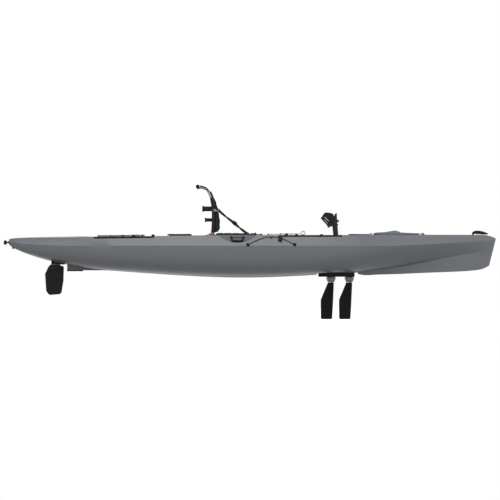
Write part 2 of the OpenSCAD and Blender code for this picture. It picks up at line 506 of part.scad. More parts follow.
FRONT = [[4, 58], [40, 70], [130, 74], [209, 64], [309, 37], [424, -22]];
module seat_back_pad() color("#232427") seat() let(
    y = function(u) (u - 0.5) * (seat_width + 6),
    h = function(v) (16 + 406 * v) * BK,
    fx = function(u, v) lookup((16 + 406 * v), [for (q = FRONT) q]))
    sling(14, 20,
        function(u, v) PIVOT + [back_x(h(v)) + 11.6 + 1.3 * v, y(u), h(v) + 1],
        function(u, v) PIVOT + [max(back_x(h(v)) + 19, fx(u, v) - 22 * dish(u) * sin(180 * v) - quilt(v, 6, 2)
            - 9 * pow(abs(2 * u - 1), 12)), y(u), h(v)]);
BUMPER = [[240, 90, 29], [130, 66, 22]];
module seat_bumpers() color("#3a3b3f") seat() for (q = BUMPER, s = [-1, 1])
    let(x = back_x(q[0] * BK)) translate(PIVOT + [x - 8.3, s * 120, q[0] * BK]) {
        rotate([0, -90, 0]) cylinder(h = q[1], r = q[2] - 6);
        translate([3 - q[1], 0, 0]) rotate([0, -90, 0]) cylinder(h = 12, r = q[2]);
    }
STRAP_A = [SX1 - 96, 0, LEDGE + 59];
STRAP_B = PIVOT + [61, 0, 224];
STRAP_Y = HW + TR + 8;
STRAP_TURN = atan2(STRAP_B[2] - STRAP_A[2], STRAP_A[0] - STRAP_B[0]);
module strap() translate([0, STRAP_Y, 0]) let(l = norm(STRAP_B - STRAP_A)) translate(STRAP_A) {
    rotate([0, STRAP_TURN, 0]) difference() {
        union() {
            translate([-l - 40, -1.3, -strap_width / 2]) cube([l + 40, 2.6, strap_width]);
            translate([-l * 0.46, 0, 0]) cube([46, 9, strap_width + 10], center = true);
            along_y(6, strap_width / 2 + 3);
        }
        along_y(20, 4.05);
    }
}
module seat_strap_starboard() color("#1f2023") seat() scale([1, -1, 1]) strap();
module seat_strap_port() color("#1f2023") seat() strap();
module seat_pull_tab() color("#e06a1b") seat() translate([SX0 + 52, -HW - TR - 1.8, TUBE_Z + 13]) cube([38, 3, 26], center = true);

// Pedal drive, dropped through the well in the hull
AXLE = [878 * KX, 0, axle_height * KZ];
HUBS = [AXLE[0] + 18 + fin_spacing / 2, AXLE[0] + 18 - fin_spacing / 2];
HUB_R = 34;
PLATE_Z = 6;
module drive_plate() color(BLACK) keel() difference() {
    union() {
        plate_block();
        for (x = HUBS, s = [-1, 1]) translate([x + s * 43, 0, HUB_Z]) difference() {
            union() { along_x(4, 13); translate([0, 0, 12]) cube([4, 26, 24], center = true); }
            along_x(10, 5);
        }
    }
}
module plate_block() difference() {
    translate([0, 0, PLATE_Z]) linear_extrude(40) polygon([[AXLE[0] + 161, 30], [AXLE[0] + 161, -30], [AXLE[0] + 140, -42],
        [AXLE[0] - 150, -42], [AXLE[0] - 192, -14], [AXLE[0] - 200, 0], [AXLE[0] - 192, 14], [AXLE[0] - 150, 42], [AXLE[0] + 140, 42]]);
    for (x = HUBS) translate([x, 0, HUB_Z]) along_x(82, HUB_R + 2);
}
module drive_spine() color(BLACK) keel() { spine_block(); latch_pins(); }
module spine_block() difference() {
    slab([for (q = [[-150, 46], [140, 46], [140, 64], [60, 84], [40, 120], [22, 150], [-22, 150], [-40, 120], [-70, 84], [-150, 66]])
        [AXLE[0] + q[0], q[1] > 100 ? q[1] - 128 + AXLE[2] : q[1]]], 56);
    translate(AXLE) along_y(90, axle_diameter / 2);
}
module latch_pins() both() translate(LATCH_PIN + [0, 34, 0]) along_y(14, 4);
module drive_axle() color("#b9bbbd") keel() {
    translate(AXLE) along_y(2 * ARM_Y + 32, axle_diameter / 2);
    for (x = HUBS) translate([x, 0, HUB_Z]) along_x(92, 5);
}
// Crank arm: hub on the axle, leaning arm, bracket that carries the pedal pin
TIP = AXLE + [-17, 0, crank_length];
PEDAL = TIP + [-72, 0, -125];
ARM_Y = 44;
PEDAL_Y = ARM_Y + 12 + pedal_width / 2;
PIN = 7;
function xz(l) = [for (q = l) [q[0], q[2]]];
module crank() {
    difference() {
        union() {
            translate(AXLE + [0, ARM_Y, 0]) along_y(24, axle_diameter / 2 + 14);
            translate([0, ARM_Y, 0]) slab(xz([AXLE + [-24, 0, 0], AXLE + [24, 0, 0], AXLE + [-1, 0, 293], TIP + [7, 0, -117],
                TIP + [2, 0, -33], TIP, TIP + [-19, 0, -15], TIP + [-26, 0, -33], TIP + [-44, 0, -117], AXLE + [-50, 0, 293]]), 18);
            translate([0, ARM_Y, 0]) slab(xz([TIP + [-30, 0, -60], TIP + [-30, 0, -130], PEDAL + [6, 0, -15], PEDAL + [-12, 0, -10],
                PEDAL + [-14, 0, 4], PEDAL + [-4, 0, 18]]), 14);
        }
        translate(AXLE + [0, ARM_Y, 0]) along_y(60, axle_diameter / 2 + 0.05);
    }
    translate(PEDAL + [0, (ARM_Y + PEDAL_Y + pedal_width / 2 + 1) / 2, 0]) along_y(PEDAL_Y + pedal_width / 2 + 1 - ARM_Y, PIN);
    translate(PEDAL + [0, PEDAL_Y + pedal_width / 2 + 3, 0]) along_y(5, PIN + 5);
    translate(TIP + [11, ARM_Y, -83]) along_y(22, 12.5);
    translate(TIP + [5, ARM_Y, -121]) along_y(20, 10);
}
module crank_starboard() color("#57595d") keel() mirror([0, 1, 0]) crank();
module crank_port() color("#57595d") keel() crank();
// Pedal: foot plate with slotted ears on both sides, joined by a bar over the foot
PEDAL_LINE = [[-83, 70], [-48, 123], [-31, 126], [3, 123], [36, 112], [48, 45], [28, 10], [14, -13], [-10, -25], [-17, -13], [-20, 0]];
FOOT_LINE = [[-56, 111], [-48, 123], [-31, 126], [3, 123], [36, 112], [48, 45], [28, 10], [14, -13], [-10, -25], [-17, -13],
    [-20, 0], [-2, 30], [-30, 82]];
module slot(a, b, w) let(v = b - a, l = norm(v)) translate([a[0], 0, a[1]]) rotate([0, -atan2(v[1], v[0]), 0])
    translate([l / 2, 0, 0]) cube([l, 300, w], center = true);
module pedal() translate(PEDAL + [0, PEDAL_Y, 0]) difference() {
    union() {
        slab(FOOT_LINE, pedal_width);
        both() translate([0, pedal_width / 2 - 6, 0]) slab(PEDAL_LINE, 12);
        slab([[-83, 70], [-74, 84], [-66, 76], [-75, 61]], pedal_width - 8);
    }
    slot([-52, 57], [-15, 16], 9);
    slot([-48, 82], [-4, 40], 10);
    along_y(200, PIN + 0.08);
    translate([18, 0, 60]) rotate([0, 12, 0]) cube([16, pedal_width - 30, 70], center = true);
}
module pedal_starboard() color(BLACK) keel() mirror([0, 1, 0]) pedal();
module pedal_port() color(BLACK) keel() pedal();
LATCH_PIN = AXLE + [95, 0, 62 - 128];
module drive_latch() translate(LATCH_PIN + [0, 33, 0]) difference() {
    union() {
        along_y(8, 10);
        slab([[-9, 0], [9, 0], [20, 52], [14, 60], [4, 58]], 8);
    }
    along_y(40, 4.06);
}
module drive_latch_starboard() color("#8d9094") keel() mirror([0, 1, 0]) drive_latch();
module drive_latch_port() color("#8d9094") keel() drive_latch();

// Fin: drum and mast sweep about the lengthwise axle, blade swivels on the mast
MAST_DX = 6;
module fin_hub(x) translate([x, 0, HUB_Z]) {
    difference() {
        union() {
            rotate([0, 90, 0]) rotate_extrude() polygon([[0, -38], [27, -38], [HUB_R, -30], [HUB_R, 30], [27, 38], [0, 38]]);
            translate([MAST_DX, 0, -fin_span + 14]) cylinder(h = fin_span - 24, r = mast_rod / 2);
        }
        along_x(100, 5.06);
    }
}
module fin_blade(x) translate([x, 0, HUB_Z]) difference() {
    union() {
        slab([[-30, -37], [29, -37], [28, -70], [13, 8 - fin_span], [6, -fin_span], [14 - fin_chord, 4 - fin_span],
            [14 - fin_chord - 6, 14 - fin_span], [8 - fin_chord, -210 / 404 * fin_span]], 4.4);
        translate([MAST_DX, 0, 8 - fin_span]) cylinder(h = fin_span - 45, r = mast_rod / 2 + 3);
    }
    translate([MAST_DX, 0, 12 - fin_span]) cylinder(h = fin_span, r = mast_rod / 2 + 0.08);
}
module fin_hub_front() color("#83868a") keel() fin_hub(HUBS[0]);
module fin_hub_rear() color("#83868a") keel() fin_hub(HUBS[1]);
module fin_blade_front() color(BLACK) keel() fin_blade(HUBS[0]);
module fin_blade_rear() color(BLACK) keel() fin_blade(HUBS[1]);

// Rudder: bracket let into the hull, yoke on a post, blade on a cross pin
POST = post_diameter / 2;
STOW = [RUDDER_X - 78, 0, BRACKET_Z - 32];
module rudder_bracket() color(BLACK) keel() difference() {
    translate([RUDDER_X, 0, BRACKET_Z + 19.8]) cube([133, 59, 39.6], center = true);
    translate([RUDDER_X, 0, BRACKET_Z - 1]) cylinder(h = 34, r = POST + 0.08);
}
module rudder_yoke() color("#4a4c50") keel() {
    translate([RUDDER_X, 0, BRACKET_Z - 4]) cylinder(h = 34, r = POST);
    difference() {
        slab([[RUDDER_X + 22, BRACKET_Z - 0.6], [RUDDER_X + 26, BRACKET_Z - 18], [RUDDER_X + 12, BRACKET_Z - 42],
            [STOW[0] - 14, BRACKET_Z - 46], [STOW[0] - 14, BRACKET_Z - 18], [STOW[0] + 4, BRACKET_Z - 0.6]], rudder_thickness + 18);
        translate([STOW[0] - 8, 0, BRACKET_Z - 60]) cube([300, rudder_thickness + 0.8, 110], center = true);
    }
    translate(STOW) along_y(rudder_thickness + 22, 5);
    translate([RUDDER_X - 30, 0, BRACKET_Z - 2.3]) cube([100, rudder_thickness + 4, 3.4], center = true);
}
module rudder_blade() color(BLACK) keel() translate([STOW[0], 0, STOW[2] + 19]) difference() {
    slab([[-10, 0], [-18, -10], [-rudder_chord / 3.6, -80], [-40, 40 - rudder_height], [-14, 4 - rudder_height], [0, -rudder_height], [92, 7 - rudder_height],
        [112, 22 - rudder_height], [rudder_chord - 54, -150], [rudder_chord - 50, -14], [rudder_chord - 60, 0]], rudder_thickness);
    translate([0, 0, -19]) along_y(60, 5.06);
}
STEER = [112 * KX, 287 * KY, edge_z(112 * KX) + 0.5];
PULL_X = 300 * KX;
PULL_Y = 250 * KY;
module steering_base() color("#4a4c50") keel() {
    translate(STEER) { cylinder(h = 4, r = 19); cylinder(h = 14, r = 5); }
    both() translate([PULL_X + 62, PULL_Y, centre_z(PULL_X) - 0.4]) difference() {
        translate([0, 0, 8]) cube([26, 24, 16], center = true);
        translate([0, 0, 10]) along_x(60, 3.2);
    }
}
module steering_lever() color(BLACK) keel() translate(STEER + [0, 0, 4.3]) difference() {
    union() {
        cylinder(h = 8, r = 12);
        linear_extrude(7) polygon(plan(-62, 6, 0, 10, 5));
        translate([-58, 0, 0]) cylinder(h = 20, r = 9);
    }
    translate([0, 0, -1]) cylinder(h = 20, r = 5.06);
}
PULL_STROKE = 120;
module pull(x, l) translate([x, PULL_Y, centre_z(PULL_X) + 9.6]) {
    along_y(60, 7.5);
    translate([l / 2, 0, 0]) along_x(l, 3);
}
module rudder_pull_up() color(BLACK) keel() mirror([0, 1, 0]) pull(PULL_X, 200);
module rudder_pull_down() color(BLACK) keel() pull(PULL_X - PULL_STROKE, 260);

hull_shell();
skeg_strip();
rear_rails();
front_rails();
rail_knobs();
deck_rings();
deck_padeyes();
scupper_sleeves();
mast_socket();
drain_plug();
rear_hatch_ring();
rear_hatch_lid();
centre_hatch_ring();
centre_hatch_lid();
bow_hatch_seal();
bow_hatch_lid();
bow_hatch_hinge();
bow_hatch_latch();
bow_handle();
bow_handle_clip();
stern_handle();
stern_handle_clips();
side_handle_starboard();
side_handle_port();
side_handle_clips();
paddle_keeper_studs();
paddle_keeper_cords();
paddle_keeper_toggles();
tankwell_cord();
seat_base_frame();
seat_feet();
seat_pan();
seat_hinge_pins();
seat_back_frame();
seat_back_pad();
seat_back_bar();
seat_bumpers();
seat_strap_starboard();
seat_strap_port();
seat_pull_tab();
drive_spine();
drive_plate();
drive_axle();
crank_starboard();
crank_port();
pedal_starboard();
pedal_port();
drive_latch_starboard();
drive_latch_port();
fin_hub_front();
fin_hub_rear();
fin_blade_front();
fin_blade_rear();
rudder_bracket();
rudder_yoke();
rudder_blade();
steering_lever();
steering_base();
rudder_pull_up();
rudder_pull_down();
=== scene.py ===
"""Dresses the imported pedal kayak: finishes, soft goods, fasteners, studio and camera."""

import json
import logging
import math
from dataclasses import dataclass, field
from enum import Enum
from typing import Any, Callable, Sequence

import bmesh
import bpy
import numpy as np
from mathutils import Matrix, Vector
from mathutils.bvhtree import BVHTree

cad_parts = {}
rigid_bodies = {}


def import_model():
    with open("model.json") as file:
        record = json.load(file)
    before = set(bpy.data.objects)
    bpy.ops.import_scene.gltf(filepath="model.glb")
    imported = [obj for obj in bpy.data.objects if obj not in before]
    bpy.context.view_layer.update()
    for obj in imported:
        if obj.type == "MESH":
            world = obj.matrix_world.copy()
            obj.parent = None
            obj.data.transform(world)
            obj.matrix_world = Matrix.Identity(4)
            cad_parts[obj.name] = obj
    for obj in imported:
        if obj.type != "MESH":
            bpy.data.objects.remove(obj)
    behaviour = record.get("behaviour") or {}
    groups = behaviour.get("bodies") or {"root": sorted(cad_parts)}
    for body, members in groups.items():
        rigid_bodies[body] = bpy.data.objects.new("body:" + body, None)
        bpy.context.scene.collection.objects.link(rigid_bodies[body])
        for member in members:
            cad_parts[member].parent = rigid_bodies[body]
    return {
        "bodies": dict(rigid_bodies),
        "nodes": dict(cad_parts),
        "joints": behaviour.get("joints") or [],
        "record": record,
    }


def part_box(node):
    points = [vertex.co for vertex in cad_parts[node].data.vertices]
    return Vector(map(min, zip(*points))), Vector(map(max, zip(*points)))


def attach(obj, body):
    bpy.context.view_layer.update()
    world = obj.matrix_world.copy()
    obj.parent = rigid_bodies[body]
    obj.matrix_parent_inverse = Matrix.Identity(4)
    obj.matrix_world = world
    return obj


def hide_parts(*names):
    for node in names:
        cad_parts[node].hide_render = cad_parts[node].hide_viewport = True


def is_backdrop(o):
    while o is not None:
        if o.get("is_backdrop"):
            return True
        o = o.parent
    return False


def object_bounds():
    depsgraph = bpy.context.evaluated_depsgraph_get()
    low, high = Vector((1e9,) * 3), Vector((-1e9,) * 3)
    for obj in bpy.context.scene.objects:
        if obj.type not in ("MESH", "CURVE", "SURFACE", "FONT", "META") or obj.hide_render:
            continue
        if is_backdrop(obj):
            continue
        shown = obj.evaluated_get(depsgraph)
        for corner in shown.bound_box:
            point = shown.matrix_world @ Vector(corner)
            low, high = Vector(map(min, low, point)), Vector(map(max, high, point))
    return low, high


LOG = logging.getLogger("pedal_kayak")

# The keel's lowest line above the frame's origin, in metres
KEEL = 0.416
MM = 0.001
DOWN, UP = Vector((0, 0, -1)), Vector((0, 0, 1))
FORE, AFT = Vector((1, 0, 0)), Vector((-1, 0, 0))
# How far outside a fitting the rays start that look for its surface, in metres
CLEAR = 0.05
# How squarely a surface has to face a ray to carry a screw, where 1 is square on
FLAT = 0.9

# A colour darker than this is a black, which reflects so little of the sky that it needs a weak gloss
BLACK_BELOW = 0.02
PLAIN_GLOSS = 0.5
BLACK_GLOSS = 0.14
RUBBER_GLOSS = 0.12

# A point on a surface and the outward normal there
Hit = tuple[Vector, Vector]


class Side(Enum):
    """The two sides of the boat, with the sign of Y on each."""

    STARBOARD = -1
    PORT = 1

    @property
    def label(self) -> str:
        """The side's name, as it stands in the names of pieces."""
        return self.name.lower()

    @property
    def out(self) -> Vector:
        """The direction away from the boat."""
        return Vector((0, self.value, 0))

    @property
    def inward(self) -> Vector:
        """The direction towards the boat."""
        return Vector((0, -self.value, 0))


class Grain(Enum):
    """The grain of a moulding's surface, by the size of its cells in millimetres."""

    SATIN = 0.9
    PEBBLED = 2.2
    COARSE = 4.0


def linear(hex_colour: str) -> tuple[float, float, float, float]:
    """Turn an sRGB hex colour into linear RGBA.

    Args:
        hex_colour: Six hex digits with a leading hash.

    Returns:
        The linear colour with an alpha of 1.
    """
    channels = [int(hex_colour[i:i + 2], 16) / 255 for i in (1, 3, 5)]
    return (*[c / 12.92 if c <= 0.04045 else ((c + 0.055) / 1.055) ** 2.4 for c in channels], 1.0)


def feed(tree: bpy.types.NodeTree, node: bpy.types.Node, feeds: dict[Any, Any]) -> None:
    """Give a node its values and incoming links.

    Args:
        tree: The node's tree.
        node: The node.
        feeds: Values or output sockets, keyed by input name or index.
    """
    for key, value in feeds.items():
        if isinstance(value, bpy.types.NodeSocket):
            tree.links.new(value, node.inputs[key])
        else:
            node.inputs[key].default_value = value


def add(tree: bpy.types.NodeTree, kind: str, feeds: dict[Any, Any] | None = None, **settings: Any) -> bpy.types.Node:
    """Add one node with its settings, values and incoming links.

    Args:
        tree: The node tree that takes the node.
        kind: The node's type name.
        feeds: Values or output sockets, keyed by input name or index.
        **settings: Attributes set on the node itself.

    Returns:
        The new node.
    """
    made = tree.nodes.new(kind)
    for key, value in settings.items():
        setattr(made, key, value)
    feed(tree, made, feeds or {})
    return made


def per(size_mm: float) -> float:
    """Return the texture scale at which one cell of a pattern is size_mm long."""
    return 1000.0 / size_mm


def bands(size_mm: float) -> float:
    """Return the wave texture's scale at which one band is size_mm wide."""
    return per(size_mm) / 20


@dataclass(frozen=True)
class Finish:
    """A surface finish: what the material is and how it was made."""

    name: str
    colour: str
    roughness: float
    slot: str

    def begin(self) -> tuple[bpy.types.Material, bpy.types.NodeTree, bpy.types.Node, bpy.types.NodeSocket]:
        """Start a node material.

        Returns:
            The material, its tree, its shader and the object coordinates.
        """
        material = bpy.data.materials.new(self.name)
        material.use_nodes = True
        tree = material.node_tree
        shader = tree.nodes["Principled BSDF"]
        gloss = PLAIN_GLOSS if max(linear(self.colour)[:3]) > BLACK_BELOW else BLACK_GLOSS
        feed(tree, shader, {"Roughness": self.roughness, "Specular IOR Level": gloss})
        return material, tree, shader, add(tree, "ShaderNodeTexCoord").outputs["Object"]

    def mottle(self, tree: bpy.types.NodeTree, coords: bpy.types.NodeSocket, size_mm: float, spread: float,
               detail: float = 3.0) -> bpy.types.NodeSocket:
        """Vary the finish's colour by a soft noise.

        Args:
            tree: The material's tree.
            coords: The coordinates of the pattern.
            size_mm: Size of one patch.
            spread: Share by which the brightness varies either way.
            detail: Octaves of the noise.

        Returns:
            The varied colour.
        """
        noise = add(tree, "ShaderNodeTexNoise",
                    {"Vector": coords, "Scale": per(size_mm), "Detail": detail, "Roughness": 0.6})
        shade = add(tree, "ShaderNodeMapRange", {"Value": noise.outputs["Fac"], "From Min": 0.25, "From Max": 0.75,
                                                 "To Min": 1 - spread, "To Max": 1 + spread})
        value = add(tree, "ShaderNodeHueSaturation", {"Value": shade.outputs["Result"], "Color": linear(self.colour)})
        return value.outputs["Color"]

    def wear(self, tree: bpy.types.NodeTree, pattern: bpy.types.NodeSocket, duller: float,
             shinier: float) -> bpy.types.NodeSocket:
        """Vary the finish's roughness by a pattern.

        Args:
            tree: The material's tree.
            pattern: A noise, most of which lies between 0.3 and 0.7.
            duller: What the rough spots have more than the finish.
            shinier: What the smooth spots have less than the finish.

        Returns:
            The varied roughness.
        """
        rough = add(tree, "ShaderNodeMapRange",
                    {"Value": pattern, "From Min": 0.3, "From Max": 0.7,
                     "To Min": self.roughness - shinier, "To Max": self.roughness + duller})
        return rough.outputs["Result"]

    def make(self) -> bpy.types.Material:
        """Build the material."""
        raise NotImplementedError


@dataclass(frozen=True)
class RotomouldedPolyethylene(Finish):
    """Rotomoulded polyethylene: a thick waxy skin with a faint orange peel, scuffed along the keel."""

    peel_mm: float = 9.0
    scuff: float = 0.16
    drift_mm: float = 420.0
    streak_mm: float = 7.0
    scuffed: str = "#a2a19d"
    clean_above: float = KEEL + 0.14
    worn_below: float = KEEL + 0.02

    def make(self) -> bpy.types.Material:
        """Build the hull's material: slow colour drift, orange peel, and long scuffs low on the hull.

        Returns:
            The material.
        """
        material, tree, shader, coords = self.begin()
        body = self.mottle(tree, coords, self.drift_mm, 0.035)
        axes = add(tree, "ShaderNodeSeparateXYZ", {"Vector": coords})
        stretched = add(tree, "ShaderNodeMapping", {"Vector": coords, "Scale": (0.05, 1.0, 1.0)})
        streak = add(tree, "ShaderNodeTexNoise",
                     {"Vector": stretched.outputs["Vector"], "Scale": per(self.streak_mm), "Detail": 4.0})
        scratch = add(tree, "ShaderNodeMapRange", {"Value": streak.outputs["Fac"], "From Min": 0.62, "From Max": 0.72})
        low = add(tree, "ShaderNodeMapRange",
                  {"Value": axes.outputs["Z"], "From Min": self.clean_above, "From Max": self.worn_below})
        worn = add(tree, "ShaderNodeMath", {0: scratch.outputs["Result"], 1: low.outputs["Result"]},
                   operation="MULTIPLY")
        amount = add(tree, "ShaderNodeMath", {0: worn.outputs[0], 1: self.scuff}, operation="MULTIPLY")
        mixed = add(tree, "ShaderNodeMix", {"Factor": amount.outputs[0], "A": body, "B": linear(self.scuffed)},
                    data_type="RGBA")
        rough = add(tree, "ShaderNodeMapRange",
                    {"Value": scratch.outputs["Result"], "To Min": self.roughness, "To Max": self.roughness + 0.14})
        peel = add(tree, "ShaderNodeTexNoise", {"Vector": coords, "Scale": per(self.peel_mm), "Detail": 2.0})
        relief = add(tree, "ShaderNodeBump", {"Height": peel.outputs["Fac"], "Distance": 0.5 * MM, "Strength": 0.35})
        feed(tree, shader, {"Base Color": mixed.outputs["Result"], "Roughness": rough.outputs["Result"],
                            "Normal": relief.outputs["Normal"], "IOR": 1.5})
        return material


@dataclass(frozen=True)
class MouldedNylon(Finish):
    """Injection moulded nylon with glass fill: a fine spark-eroded grain that dulls the shine."""

    grain: Grain = Grain.PEBBLED
    cloud_mm: float = 60.0
    rub_mm: float = 35.0

    def make(self) -> bpy.types.Material:
        """Build the material: grain bump, cloudy colour and rubbed spots.

        Returns:
            The material.
        """
        material, tree, shader, coords = self.begin()
        cells = add(tree, "ShaderNodeTexVoronoi", {"Vector": coords, "Scale": per(self.grain.value)},
                    feature="SMOOTH_F1")
        relief = add(tree, "ShaderNodeBump",
                     {"Height": cells.outputs["Distance"], "Distance": 0.25 * MM, "Strength": 0.5})
        rub = add(tree, "ShaderNodeTexNoise", {"Vector": coords, "Scale": per(self.rub_mm), "Detail": 5.0})
        feed(tree, shader, {"Base Color": self.mottle(tree, coords, self.cloud_mm, 0.12),
                            "Roughness": self.wear(tree, rub.outputs["Fac"], 0.08, 0.07),
                            "Normal": relief.outputs["Normal"], "IOR": 1.53})
        return material


@dataclass(frozen=True)
class MouldedRubber(Finish):
    """Compression moulded rubber: matt, soft-looking, with dust in its fine ribs."""

    rib_mm: float = 0.0
    dust_mm: float = 25.0
    pore_mm: float = 1.8

    def make(self) -> bpy.types.Material:
        """Build the material: bloom on the surface, and ribs where it is a grip.

        Returns:
            The material.
        """
        material, tree, shader, coords = self.begin()
        if self.rib_mm:
            # Real grip ribs of about 3 mm, drawn coarser so that they show from a step away
            wave = add(tree, "ShaderNodeTexWave", {"Vector": coords, "Scale": bands(self.rib_mm), "Distortion": 0.0},
                       bands_direction="Y", wave_profile="SIN")
            height, depth, strength = wave.outputs["Fac"], 0.8 * MM, 0.8
        else:
            fine = add(tree, "ShaderNodeTexNoise", {"Vector": coords, "Scale": per(self.pore_mm), "Detail": 2.0})
            height, depth, strength = fine.outputs["Fac"], 0.2 * MM, 0.5
        relief = add(tree, "ShaderNodeBump", {"Height": height, "Distance": depth, "Strength": strength})
        feed(tree, shader, {"Base Color": self.mottle(tree, coords, self.dust_mm, 0.18, 5.0),
                            "Normal": relief.outputs["Normal"], "Specular IOR Level": RUBBER_GLOSS})
        return material


@dataclass(frozen=True)
class AnodisedAluminium(Finish):
    """Drawn and anodised aluminium: satin, with faint draw lines along the piece."""

    line_mm: float = 1.2
    stain_mm: float = 90.0

    def make(self) -> bpy.types.Material:
        """Build the material: draw lines in roughness and bump, and a few handling marks.

        Returns:
            The material.
        """
        material, tree, shader, coords = self.begin()
        drawn = add(tree, "ShaderNodeMapping", {"Vector": coords, "Scale": (1.0, 1.0, 0.04)})
        lines = add(tree, "ShaderNodeTexNoise",
                    {"Vector": drawn.outputs["Vector"], "Scale": per(self.line_mm), "Detail": 2.0})
        relief = add(tree, "ShaderNodeBump", {"Height": lines.outputs["Fac"], "Distance": 0.05 * MM, "Strength": 0.5})
        feed(tree, shader, {"Base Color": self.mottle(tree, coords, self.stain_mm, 0.05), "Metallic": 1.0,
                            "Roughness": self.wear(tree, lines.outputs["Fac"], 0.1, 0.08),
                            "Normal": relief.outputs["Normal"]})
        return material


@dataclass(frozen=True)
class StainlessSteel(Finish):
    """Turned and brushed stainless steel: fine rings of brushing that break up its shine."""

    stain_mm: float = 30.0
    brush_mm: float = 1.0

    def make(self) -> bpy.types.Material:
        """Build the material: brushed roughness.

        Returns:
            The material.
        """
        material, tree, shader, coords = self.begin()
        noise = add(tree, "ShaderNodeTexNoise", {"Vector": coords, "Scale": per(self.brush_mm), "Detail": 3.0})
        rough = add(tree, "ShaderNodeMapRange", {"Value": noise.outputs["Fac"], "To Min": self.roughness - 0.06,
                                                 "To Max": self.roughness + 0.12})
        feed(tree, shader, {"Base Color": self.mottle(tree, coords, self.stain_mm, 0.06), "Metallic": 1.0,
                            "Roughness": rough.outputs["Result"]})
        return material


@dataclass(frozen=True)
class WovenTextile(Finish):
    """Woven polyester: seat mesh, webbing or cord sheath, by its thread spacing and the share of gaps."""

    thread_mm: float = 3.0
    gap: float = 0.5
    turn: float = 0.0
    pale: str = "#4a4b4e"
    dust_mm: float = 45.0

    def make(self) -> bpy.types.Material:
        """Build the material: crossed threads, drawn coarse enough to show from a step away, and a dusty sheen.

        Returns:
            The material.
        """
        material, tree, shader, coords = self.begin()
        turned = add(tree, "ShaderNodeMapping", {"Vector": coords, "Rotation": (self.turn, self.turn, self.turn)})
        over, under, through = [
            add(tree, "ShaderNodeTexWave", {"Vector": turned.outputs["Vector"], "Scale": bands(self.thread_mm)},
                bands_direction=axis, wave_profile="SIN").outputs["Fac"] for axis in ("Y", "Z", "X")]
        cross = add(tree, "ShaderNodeMath", {0: over, 1: under}, operation="MULTIPLY")
        weave = add(tree, "ShaderNodeMath", {0: cross.outputs[0], 1: through}, operation="MAXIMUM")
        lift = add(tree, "ShaderNodeMath", {0: weave.outputs[0], 1: self.gap}, operation="MULTIPLY")
        patch = self.mottle(tree, coords, self.dust_mm, 0.15, 4.0)
        mixed = add(tree, "ShaderNodeMix", {"Factor": lift.outputs[0], "A": patch, "B": linear(self.pale)},
                    data_type="RGBA")
        relief = add(tree, "ShaderNodeBump", {"Height": weave.outputs[0], "Distance": 0.5 * MM, "Strength": 0.7})
        feed(tree, shader, {"Base Color": mixed.outputs["Result"], "Normal": relief.outputs["Normal"],
                            "Sheen Weight": 0.08, "Sheen Roughness": 0.5})
        return material


class Locker:
    """Holds the finishes of the boat and builds each material once."""

    def __init__(self) -> None:
        """List the finishes."""
        self.made: dict[str, bpy.types.Material] = {}
        self.finishes: dict[str, Finish] = {f.name: f for f in (
            RotomouldedPolyethylene("rotomoulded_slate_polyethylene", "#6b6f74", 0.42, "hull_plastic"),
            RotomouldedPolyethylene("moulded_slate_lid", "#6e7277", 0.42, "lid_plastic", 7.0, 0.0),
            MouldedNylon("moulded_black_nylon", "#121314", 0.5, "black_plastic"),
            MouldedNylon("moulded_coarse_black_nylon", "#101112", 0.6, "black_plastic", Grain.COARSE),
            MouldedNylon("moulded_graphite_nylon", "#222426", 0.5, "grey_plastic"),
            MouldedNylon("moulded_hub_nylon", "#7d8084", 0.42, "hub_plastic", Grain.SATIN),
            MouldedRubber("moulded_black_rubber", "#0e0f10", 0.7, "rubber"),
            MouldedRubber("ribbed_grip_rubber", "#0c0d0e", 0.75, "rubber", 5.0),
            AnodisedAluminium("clear_anodised_tube", "#85888c", 0.42, "aluminium"),
            AnodisedAluminium("dark_anodised_tube", "#303235", 0.42, "dark_aluminium"),
            StainlessSteel("brushed_stainless", "#c6c7c8", 0.26, "steel"),
            StainlessSteel("dulled_stainless", "#55575a", 0.38, "steel"),
            WovenTextile("woven_seat_mesh", "#0f1011", 0.9, "mesh_fabric", 5.0, 0.4),
            WovenTextile("woven_seat_binding", "#0c0d0e", 0.85, "webbing", 4.0, 0.3),
            WovenTextile("woven_black_webbing", "#101113", 0.8, "webbing", 3.0, 0.45, 0.6),
            WovenTextile("braided_cord_sheath", "#131416", 0.85, "webbing", 2.5, 0.6, 0.785),
            WovenTextile("woven_orange_webbing", "#b4501c", 0.8, "orange_webbing", 3.0, 0.25, 0.0, "#cf7a4a"),
        )}

    def get(self, name: str) -> bpy.types.Material:
        """Return the material of a finish, built on first use.

        Args:
            name: The finish.

        Returns:
            Its material.
        """
        if name not in self.made:
            self.made[name] = self.finishes[name].make()
        return self.made[name]

    def slot(self, name: str) -> str:
        """Return the record's material slot of a finish."""
        return self.finishes[name].slot


def link(name: str, mesh: bpy.types.Mesh) -> bpy.types.Object:
    """Make an object of a mesh and link it to the scene.

    Args:
        name: The object's name.
        mesh: Its mesh.

    Returns:
        The linked object.
    """
    made = bpy.data.objects.new(name, mesh)
    bpy.context.scene.collection.objects.link(made)
    return made


def piece_from(name: str, bm: bmesh.types.BMesh, material: bpy.types.Material) -> bpy.types.Object:
    """Make a scene object of a bmesh, which is freed.

    Args:
        name: The piece's name.
        bm: Its shape, in the row frame.
        material: Its finish.

    Returns:
        The linked object.
    """
    mesh = bpy.data.meshes.new(name)
    bm.to_mesh(mesh)
    bm.free()
    mesh.materials.append(material)
    return link(name, mesh)


def settle(piece: bpy.types.Object) -> bpy.types.Object:
    """Turn a piece's modifiers into plain mesh.

    Args:
        piece: The piece, whose mesh is replaced.

    Returns:
        The same piece.
    """
    graph = bpy.context.evaluated_depsgraph_get()
    graph.update()
    solid = bpy.data.meshes.new_from_object(piece.evaluated_get(graph))
    piece.modifiers.clear()
    piece.data = solid
    return piece


